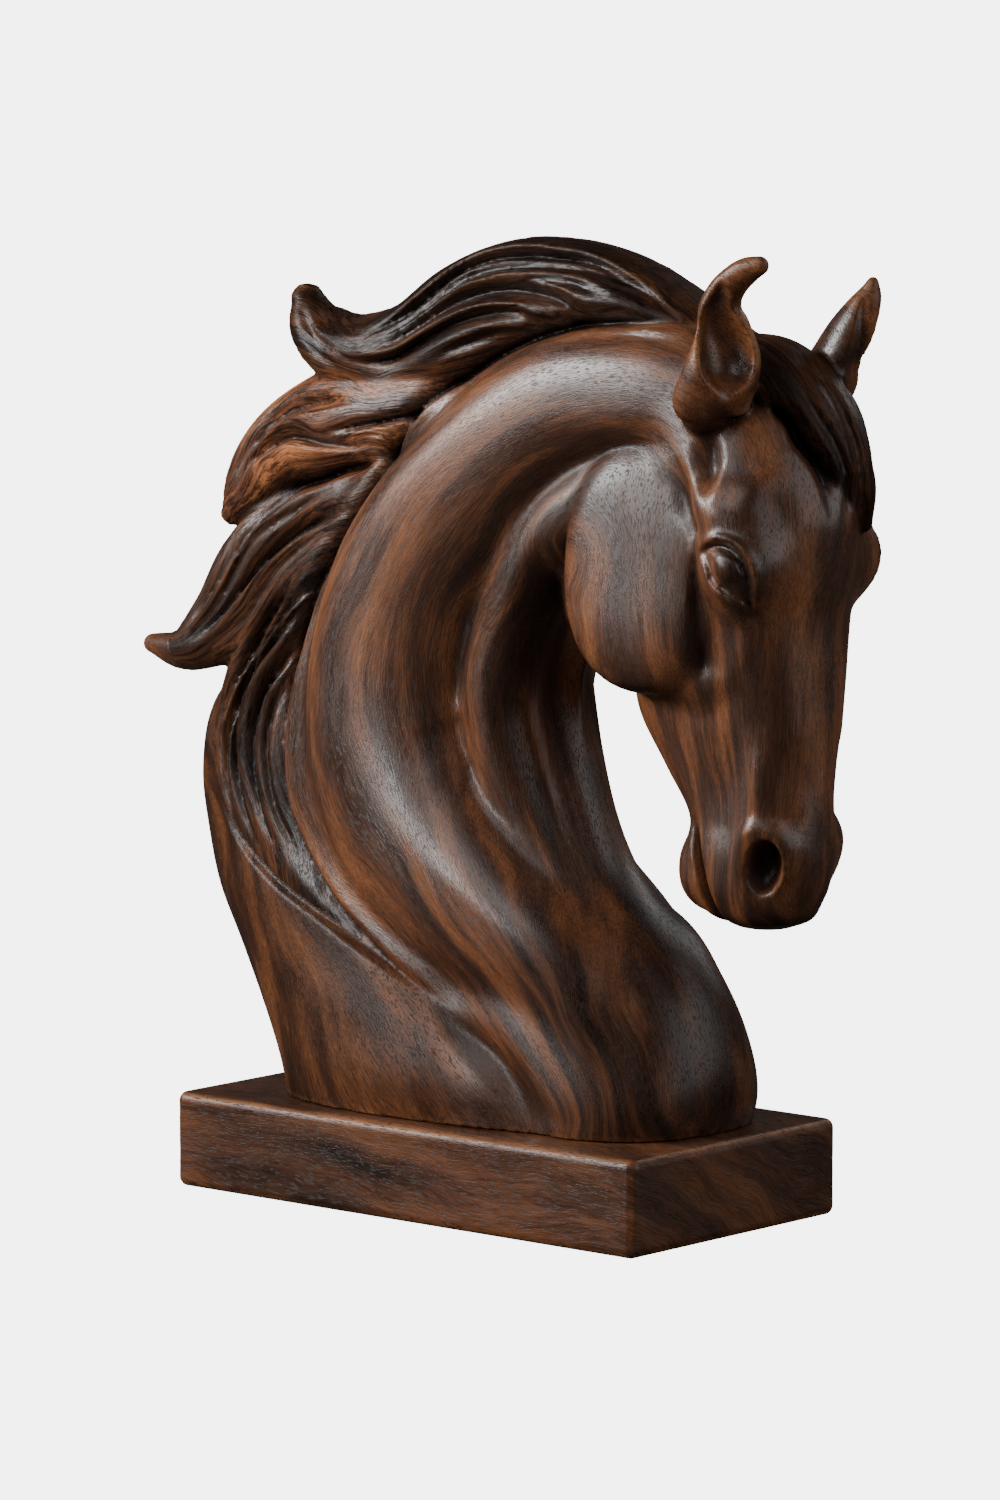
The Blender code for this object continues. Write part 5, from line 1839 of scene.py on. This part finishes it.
    def carve(self) -> Carving:
        """Carves the whole bust.

        Returns:
            The block with the bust in it.
        """
        carving = Carving(self.low, self.high, self.step)
        carving.add(Levels(CLOAK_LEVELS), 0.0)
        carving.add(Levels(CHEST_LEVELS), self.chest_blend)
        for table, blend in self.ROLLS:
            carving.add(Roll(table), blend)
        self.carve_head(carving)
        self.carve_mane(carving)
        self.carve_features(carving)
        for lines, relief, sight in self.RELIEFS:
            carving.engrave(lines, relief, sight)
        carving.sand(self.sanding)
        carving.saw_base()
        carving.close_pinches()
        return carving

    def carve_head(self, carving: Carving) -> None:
        """Adds the head with its jowls, brows and chin.

        Args:
            carving: The block that is carved.
        """
        carving.add(Levels(HEAD_LEVELS), self.head_blend)
        for side in (-1, 1):
            for form in (self.jowl, *self.FACE):
                carving.add(form.solid(side), form.edge)
        carving.add(self.chin.solid(1), self.chin.edge)

    def carve_mane(self, carving: Carving) -> None:
        """Adds the ears, the locks of the mane and the forelock.

        Args:
            carving: The block that is carved.
        """
        for ear, hollow, facing in self.EARS:
            carving.add(Lock(ear, facing), self.ear_blend)
            carving.cut(Lock(hollow, facing), self.ear_rim)
        carving.add(Lock(CROWN_LOCK), self.crown_blend)
        carving.cut(self.scoop.solid(1), self.scoop.edge)
        for table in self.LOCKS:
            carving.add(Lock(table), self.lock_blend)
        carving.add(Lock(FORELOCK, FORELOCK_FACING), self.forelock_blend)

    def carve_features(self, carving: Carving) -> None:
        """Adds the eyeballs and cuts the nostrils.

        Args:
            carving: The block that is carved.
        """
        for side in (-1, 1):
            carving.add(self.eyeball.solid(side), self.eyeball.edge)
            carving.cut(self.nostril.solid(side), self.nostril.edge)

    def shares(self, places: Array) -> tuple[Array, Array]:
        """How much each place belongs to the combed hair and to the plain cloak.

        Args:
            places: Rows of x, y and z in steps.

        Returns:
            1 in the mane and the forelock, 0 elsewhere, and the same for the cloak.
        """
        x, y, z = self.stacked(places)
        across, over = (
            self.beyond(Line(line, Relief.LIP, self.FROM_SIDE, 0.0), x, z) for line in BORDER_LIPS[:2]
        )
        tuft = Lock(FORELOCK, FORELOCK_FACING).distance(x, y, z)[:, 0, 0]
        x, z = x[:, 0, 0], z[:, 0, 0]
        outer = np.clip(across / self.HAIR_EDGE, 0, 1)
        above = np.where(x < self.CLOAK_LINE, np.clip(over / self.HAIR_EDGE, 0, 1), 1)
        back = (x < self.MANE_BACK) | (z > self.MANE_TOP)
        mane = outer * above * (z > self.MANE_LOW) * (x < self.MANE_FRONT) * back
        fading = np.clip((self.CLOAK_FRONT - x) / self.CLOAK_FADE, 0, 1)
        cloak = (1 - np.clip(over / self.CLOAK_EDGE, 0, 1)) * (z < self.CLOAK_TOP) * fading
        return np.maximum(mane, np.clip(1 - tuft / self.HAIR_EDGE, 0, 1)), cloak * outer

    def finish(self, places: Array, mane: Array, cloak: Array) -> tuple[Array, Array]:
        """Strength of the colour, with painted shade and painted highlight in some patches, and of the shine.

        Args:
            places: Rows of x, y and z in steps.
            mane: How much each place belongs to the mane.
            cloak: How much it belongs to the cloak.

        Returns:
            Both are 1 on the neck and the face, and less or more elsewhere.
        """
        tones, shine = np.ones(len(places)), np.ones(len(places))
        for share, (tone, lustre) in (
            (cloak, self.CLOAK_FINISH),
            (self.chest_share(places), self.CHEST_FINISH),
            (self.jowl_share(places), self.JOWL_FINISH),
            *((patch.share(places), (patch.stain_and_shade, patch.lustre)) for patch in self.SHINE_AND_SHADE_PATCHES),
        ):
            tones, shine = tones * (1 + (tone - 1) * share), shine * (1 + (lustre - 1) * share)
        hair = np.flatnonzero(mane > 0)
        x, y, z = self.stacked(places[hair])
        toned, shining, weight = np.zeros(len(hair)), np.zeros(len(hair)), np.full(len(hair), self.LEAST_WEIGHT)
        for table, tone, lustre in self.HAIR_FINISH:
            facing = (FORELOCK_FACING,) if table is FORELOCK else ()
            far = np.clip(Lock(table, *facing).distance(x, y, z)[:, 0, 0], 0, self.HAIR_FARTHEST)
            near = np.exp(-far / self.HAIR_REACH)
            toned, shining, weight = toned + near * tone, shining + near * lustre, weight + near
        tones[hair] += mane[hair] * (toned / weight - tones[hair])
        shine[hair] += mane[hair] * (shining / weight - shine[hair])
        return tones, shine

    def jowl_share(self, places: Array) -> Array:
        """How much each place belongs to the jowl, from 0 to 1."""
        disc = Round(self.jowl.centre, self.jowl.radii, turning(), *self.jowl.powers)
        depth = -disc.distance(places[:, 0], np.abs(places[:, 1]), places[:, 2])
        return np.clip(depth / self.JOWL_EDGE + 0.5, 0, 1)

    def chest_share(self, places: Array) -> Array:
        """How much each place belongs to the foot of the chest, from 0 to 1."""
        ahead = np.clip((places[:, 0] - self.CHEST_BACK) / self.CHEST_FADE, 0, 1)
        return ahead * np.clip((self.CHEST_TOP - places[:, 2]) / self.CHEST_FALL, 0, 1)

    def flow(self, skin: GrainFlow, hair: GrainFlow, places: Array, mane: Array) -> Array:
        """Distance across the grain, straight up and down the jowls.

        Args:
            skin: Flow of the grain in the skin.
            hair: Flow of the grain in the mane.
            places: Rows of x, y and z in steps.
            mane: How much each place belongs to the mane.

        Returns:
            One distance for each place.
        """
        jowl = self.jowl_share(places)
        plain = (1 - jowl) * skin.at(places) + jowl * (self.JOWL_GRAIN - places[:, 0])
        return np.where(mane > 0.5, hair.at(places), plain)

    @staticmethod
    def stacked(places: Array) -> tuple[Array, ...]:
        """The x, y and z of places, shaped like the cells of a block."""
        return tuple(places[:, i][:, None, None].astype(np.float32) for i in range(3))

    @staticmethod
    def beyond(line: Line, x: Array, z: Array) -> Array:
        """How far each place lies on the outer side of a line."""
        place = line.place(x, 0, z)
        return line.vector(line.beside, place, line.offset(place, x, 0, z))[:, 0, 0]

    def hair_tree(self, sizes: dict[str, float]) -> bpy.types.NodeTree:
        """Tree that combs fine marks into the mane along its flow.

        Args:
            sizes: Depth and spacing of the marks.

        Returns:
            The tree.
        """
        tree, bench, given = new_tree("Comb marks", sizes)
        flow, mane = (
            bench.node("GeometryNodeInputNamedAttribute", {"Name": name}, data_type="FLOAT").outputs[0]
            for name in ("grain", "mane")
        )
        slow = bench.vector("MULTIPLY", bench.node("GeometryNodeInputPosition").outputs[0], self.COMB_STRETCH)
        across = bench.maths("DIVIDE", flow, given.outputs["Spacing"])
        marks = bench.span(bench.noise(slow, across, 1.0), *self.COMB_RANGE, -1.0, 1.0)
        depth = bench.maths("MULTIPLY", bench.maths("MULTIPLY", marks, mane), given.outputs["Depth"])
        offset = bench.scaled(bench.node("GeometryNodeInputNormal").outputs[0], depth)
        combed = bench.node("GeometryNodeSetPosition", {"Geometry": given.outputs[0], "Offset": offset})
        finish_tree(bench, combed.outputs[0], given.outputs["Wood"])
        return tree

    def build(self) -> bpy.types.Object:
        """Carves, combs and dresses the bust.

        Returns:
            The finished piece.
        """
        low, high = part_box("horse_head")
        carving = self.carve()
        shelter = sum(weight * carving.shelter(reach) for reach, weight in self.SHELTER)
        skin, hair = GrainFlow(SKIN_FLOW), GrainFlow(HAIR_FLOW)
        points, faces = largest_body(*carving.surface())
        scale = (high.z - low.z) / np.ptp(points[:, 2])
        lift = low.z - points[:, 2].min() * scale
        mesh = bpy.data.meshes.new("carving")
        mesh.from_pydata((points * scale + [0, 0, lift]).tolist(), [], faces.tolist())
        mane, cloak = self.shares(points)
        paint(mesh, "grain", self.flow(skin, hair, points, mane))
        paint(mesh, "mane", mane)
        rough = placed("carving", mesh)
        sizes = {"Depth": self.hair_depth, "Spacing": self.hair_spacing}
        run_tree(rough, self.hair_tree(sizes), {**sizes, "Wood": self.wood.made()})
        facets = rough.modifiers.new("Facets", "DECIMATE")
        facets.ratio = self.triangles / (2 * len(faces))
        piece = plain_copy(rough, "Horse_bust")
        mesh = piece.data
        places = (points_of(mesh) - [0, 0, lift]) / scale
        mane, cloak = self.shares(places)
        paint(mesh, "grain", self.flow(skin, hair, places, mane))
        paint(mesh, "hollow", carving.read(shelter, places))
        paint(mesh, "calm", self.JOWL_CALM * self.jowl_share(places))
        for name, values in zip(("stain_and_shade", "lustre"), self.finish(places, mane, cloak)):
            paint(mesh, name, values)
        mesh.polygons.foreach_set("use_smooth", np.ones(len(mesh.polygons), bool))
        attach(piece, "root")
        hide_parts("horse_head")
        log.info("bust: %d triangles", len(mesh.polygons))
        return piece


@dataclass
class Plinth:
    """The rounded block under the bust.

    Attributes:
        radius: Rounding of its edges, metres.
        guard: Narrow flat band beside each rounding, metres.
        cells: Faces along each side of the block.
        round_cells: Faces that each rounding takes.
        wear: Depth of the knocks along its edges, metres.
        wood: Its finish.
    """

    radius: float = 0.0036
    guard: float = 0.0006
    cells: int = 48
    round_cells: int = 5
    wear: float = 0.00025
    wood: WoodFinish = WoodFinish("plinth_wood", Grain.SAWN, amber_share=0.34, band=13.0)

    # Knocks along the edges: their stretch over the cube, the range that makes them, their gain at corners
    KNOCK_STRETCH, KNOCK_RANGE, CORNER_GAIN = (9.0, 5.0, 2.0), (0.45, 0.75), 2.4
    # Shelter of flat wood, how much less it is on a sharp edge, and the share of a rounding that is sharp
    FLAT, BARED, SHARP = 0.5, 0.3, 0.7

    def tree(self, sizes: dict[str, float]) -> bpy.types.NodeTree:
        """Tree that lays a block out with its points gathered at the edges, and rounds them.

        Args:
            sizes: Length, width, height, radius, guard and wear, metres.

        Returns:
            The tree.
        """
        tree, bench, given = new_tree("Rounded block", sizes)
        radius, guard = (
            bench.node("ShaderNodeCombineXYZ", dict.fromkeys(range(3), given.outputs[name])).outputs[0]
            for name in ("Radius", "Guard")
        )
        count = {f"Vertices {axis}": self.cells + 1 for axis in "XYZ"}
        cube = bench.node("GeometryNodeMeshCube", {"Size": (2.0, 2.0, 2.0), **count})
        half = [bench.maths("MULTIPLY", given.outputs[name], 0.5) for name in ("Length", "Width", "Height")]
        halves = bench.node("ShaderNodeCombineXYZ", dict(enumerate(half))).outputs[0]
        inner = bench.vector("SUBTRACT", halves, radius)
        place = bench.node("GeometryNodeInputPosition").outputs[0]
        side, share = bench.vector("SIGN", place), bench.vector("ABSOLUTE", place)
        turn = 1 - 2 * self.round_cells / self.cells
        edge = turn - 2 / self.cells
        flat = bench.vector("SUBTRACT", inner, guard)
        total: Socket | Triple = (0.0, 0.0, 0.0)
        for first, last, size in ((0.0, edge, flat), (edge, turn, guard), (turn, 1.0, radius)):
            part = bench.spans(share, first, last)
            total = bench.vector("ADD", total, bench.vector("MULTIPLY", part, size))
        inside = bench.vector("MINIMUM", total, inner)
        proud = bench.vector("SUBTRACT", total, inside)
        outward = bench.vector("NORMALIZE", proud)
        knock = bench.noise(bench.vector("MULTIPLY", place, self.KNOCK_STRETCH), 0.0, 3.0)
        knock = bench.maths("MULTIPLY", bench.span(knock, *self.KNOCK_RANGE), given.outputs["Wear"])
        sharp = bench.node("ShaderNodeVectorMath", {0: proud}, operation="LENGTH").outputs["Value"]
        sharp = bench.maths("SUBTRACT", bench.maths("DIVIDE", sharp, given.outputs["Radius"]), 1.0)
        knock = bench.maths("MULTIPLY", knock, bench.maths("MULTIPLY", sharp, self.CORNER_GAIN))
        corner = bench.vector("ADD", inside, bench.scaled(outward, given.outputs["Radius"]))
        corner = bench.vector("SUBTRACT", corner, bench.scaled(outward, knock))
        middle = bench.node("ShaderNodeCombineXYZ", {2: half[2]}).outputs[0]
        corner = bench.vector("ADD", bench.vector("MULTIPLY", corner, side), middle)
        block = bench.node("GeometryNodeSetPosition", {"Geometry": cube.outputs[0], "Position": corner})
        finish_tree(bench, block.outputs[0], given.outputs["Wood"])
        return tree

    def build(self) -> bpy.types.Object:
        """Builds and dresses the block.

        Returns:
            The finished piece.
        """
        low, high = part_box("plinth")
        blank = placed("blank", bpy.data.meshes.new("blank"))
        sizes = {"Length": high.x - low.x, "Width": high.y - low.y, "Height": high.z - low.z,
                 "Radius": self.radius, "Guard": self.guard, "Wear": self.wear}
        run_tree(blank, self.tree(sizes), {**sizes, "Wood": self.wood.made()})
        piece = plain_copy(blank, "Plinth_block")
        mesh = piece.data
        mesh.polygons.foreach_set("use_smooth", np.ones(len(mesh.polygons), bool))
        paint(mesh, "hollow", self.shelter(mesh, high - low))
        for name in ("stain_and_shade", "lustre"):
            paint(mesh, name, np.ones(len(mesh.vertices)))
        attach(piece, "root")
        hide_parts("plinth")
        log.info("plinth: %d faces", len(mesh.polygons))
        return piece

    def shelter(self, mesh: bpy.types.Mesh, size: Vector) -> Array:
        """How sheltered each point of the block is, low where two faces meet.

        Args:
            mesh: The block.
            size: Its length, width and height.

        Returns:
            About a half on flat wood, less along the edges.
        """
        places = np.abs(points_of(mesh) - [0, 0, size.z / 2])
        proud = np.clip(places - (np.array(size) / 2 - self.radius), 0, None) / self.radius
        second = np.sort(proud, axis=1)[:, 1]
        return self.FLAT - self.BARED * np.clip(second / self.SHARP, 0, 1)


def around(azimuth: float, elevation: float) -> Vector:
    """Direction from the bust.

    Args:
        azimuth: Degrees round it, 0 on the near side and 90 before the face.
        elevation: Degrees above the floor.

    Returns:
        A vector one metre long.
    """
    turn, tilt = np.radians(azimuth), np.radians(elevation)
    return Vector((np.sin(turn) * np.cos(tilt), -np.cos(turn) * np.cos(tilt), np.sin(tilt)))


def aim(held: bpy.types.Object, target: Vector, outward: Vector) -> None:
    """Stands a lamp or camera off from the target and turns it to face it.

    Args:
        held: The lamp or camera.
        target: What it faces.
        outward: How far it stands from the target, and which way.
    """
    held.location = target + outward
    held.rotation_euler = (target - held.location).to_track_quat("-Z", "Y").to_euler()


@dataclass
class Softbox:
    """Soft studio lamp.

    Attributes:
        name: Name of the lamp.
        azimuth: Degrees round the bust, 0 on the near side and 90 before the face.
        elevation: Degrees above the floor.
        distance: Metres from the bust.
        size: Width and height of its cloth, metres.
        power: Watts.
    """

    name: str
    azimuth: float
    elevation: float
    distance: float
    size: tuple[float, float]
    power: float

    def place(self, target: Vector) -> None:
        """Puts the lamp up, aimed at the target.

        Args:
            target: What the lamp lights.
        """
        lamp = bpy.data.lights.new(self.name, "AREA")
        lamp.shape = "RECTANGLE"
        lamp.size, lamp.size_y = self.size
        lamp.energy = self.power
        aim(placed(self.name, lamp), target, around(self.azimuth, self.elevation) * self.distance)


@dataclass
class Studio:
    """Pale floor, soft lamps and the camera.

    Attributes:
        floor_reach: Metres of floor to each side.
        backdrop: How bright the floor and the room look.
        glow: How much light the room itself gives.
        target: What the camera looks at.
        azimuth: Degrees the camera stands round from the near side.
        elevation: Degrees it stands above the level view.
        distance: Metres from the target.
        lens: Focal length in millimetres.
        sensor: Width of the picture behind the lens, millimetres.
        floor_colour: Colour of the floor as the bust sees it.
        white: Colour of the room.
    """

    floor_reach: float = 40.0
    backdrop: float = 5.5
    glow: float = 0.05
    target: Triple = (-0.0009, -0.0008, 0.1754)
    azimuth: float = CAMERA_AZIMUTH
    elevation: float = CAMERA_ELEVATION
    distance: float = 3.0
    lens: float = 187.6
    sensor: float = 36.0
    floor_colour: tuple[float, ...] = (0.07, 0.07, 0.07, 1.0)
    white: tuple[float, ...] = (1.0, 1.0, 1.0, 1.0)

    LAMPS = (
        Softbox("Key_softbox", -46.0, 28.0, 2.2, (1.2, 0.8), 74.0),
        Softbox("Side_softbox", -25.0, 12.0, 2.3, (0.9, 0.45), 20.0),
        Softbox("Top_softbox", 6.0, 40.0, 2.4, (1.2, 1.0), 12.0),
        Softbox("Back_softbox", 176.0, 30.0, 2.4, (0.8, 1.2), 6.0),
        Softbox("Face_softbox", 106.0, 22.0, 2.6, (2.8, 2.2), 38.0),
    )

    def build(self) -> None:
        """Sets the studio up round the bust."""
        self.lay_floor()
        self.light_room()
        for lamp in self.LAMPS:
            lamp.place(Vector(self.target))
        self.place_camera()
        log.info("studio: %d lamps", len(self.LAMPS))

    def lay_floor(self) -> None:
        """Lays the plain pale floor."""
        reach = self.floor_reach
        mesh = bpy.data.meshes.new("Studio_floor")
        outline = [(-reach, -reach, 0), (reach, -reach, 0), (reach, reach, 0), (-reach, reach, 0)]
        mesh.from_pydata(outline, [], [(0, 1, 2, 3)])
        floor = placed("Studio_floor", mesh)
        material = bpy.data.materials.new("pale_floor")
        bench = cleared(material)
        seen = bench.node("ShaderNodeLightPath").outputs["Is Camera Ray"]
        matt = bench.node("ShaderNodeBsdfDiffuse", {"Color": self.floor_colour})
        even = bench.node("ShaderNodeEmission", {"Color": self.white, "Strength": self.backdrop})
        shown = bench.node("ShaderNodeMixShader", {0: seen, 1: matt.outputs[0], 2: even.outputs[0]})
        bench.node("ShaderNodeOutputMaterial", {"Surface": shown.outputs[0]})
        mesh.materials.append(material)

    def light_room(self) -> None:
        """Gives the room its even pale light."""
        world = bpy.data.worlds.new("Studio_room")
        bench = cleared(world)
        seen = bench.node("ShaderNodeLightPath").outputs["Is Camera Ray"]
        strength = bench.span(seen, 0.0, 1.0, self.glow, self.backdrop)
        room = bench.node("ShaderNodeBackground", {"Color": self.white, "Strength": strength})
        bench.node("ShaderNodeOutputWorld", {"Surface": room.outputs[0]})
        bpy.context.scene.world = world

    def place_camera(self) -> None:
        """Places the camera at the photograph's viewing angle."""
        lens = bpy.data.cameras.new("Studio_camera")
        lens.lens = self.lens
        lens.sensor_width = self.sensor
        lens.sensor_fit = "AUTO"
        lens.dof.use_dof = False
        camera = placed("Studio_camera", lens)
        aim(camera, Vector(self.target), around(self.azimuth, self.elevation) * self.distance)
        bpy.context.scene.camera = camera


def main() -> None:
    """Builds the sculpture and its studio in order."""
    logging.basicConfig(level=logging.INFO, format="%(name)s: %(message)s")
    Plinth().build()
    HorseHead().build()
    Studio().build()


if __name__ == "__main__":
    main()
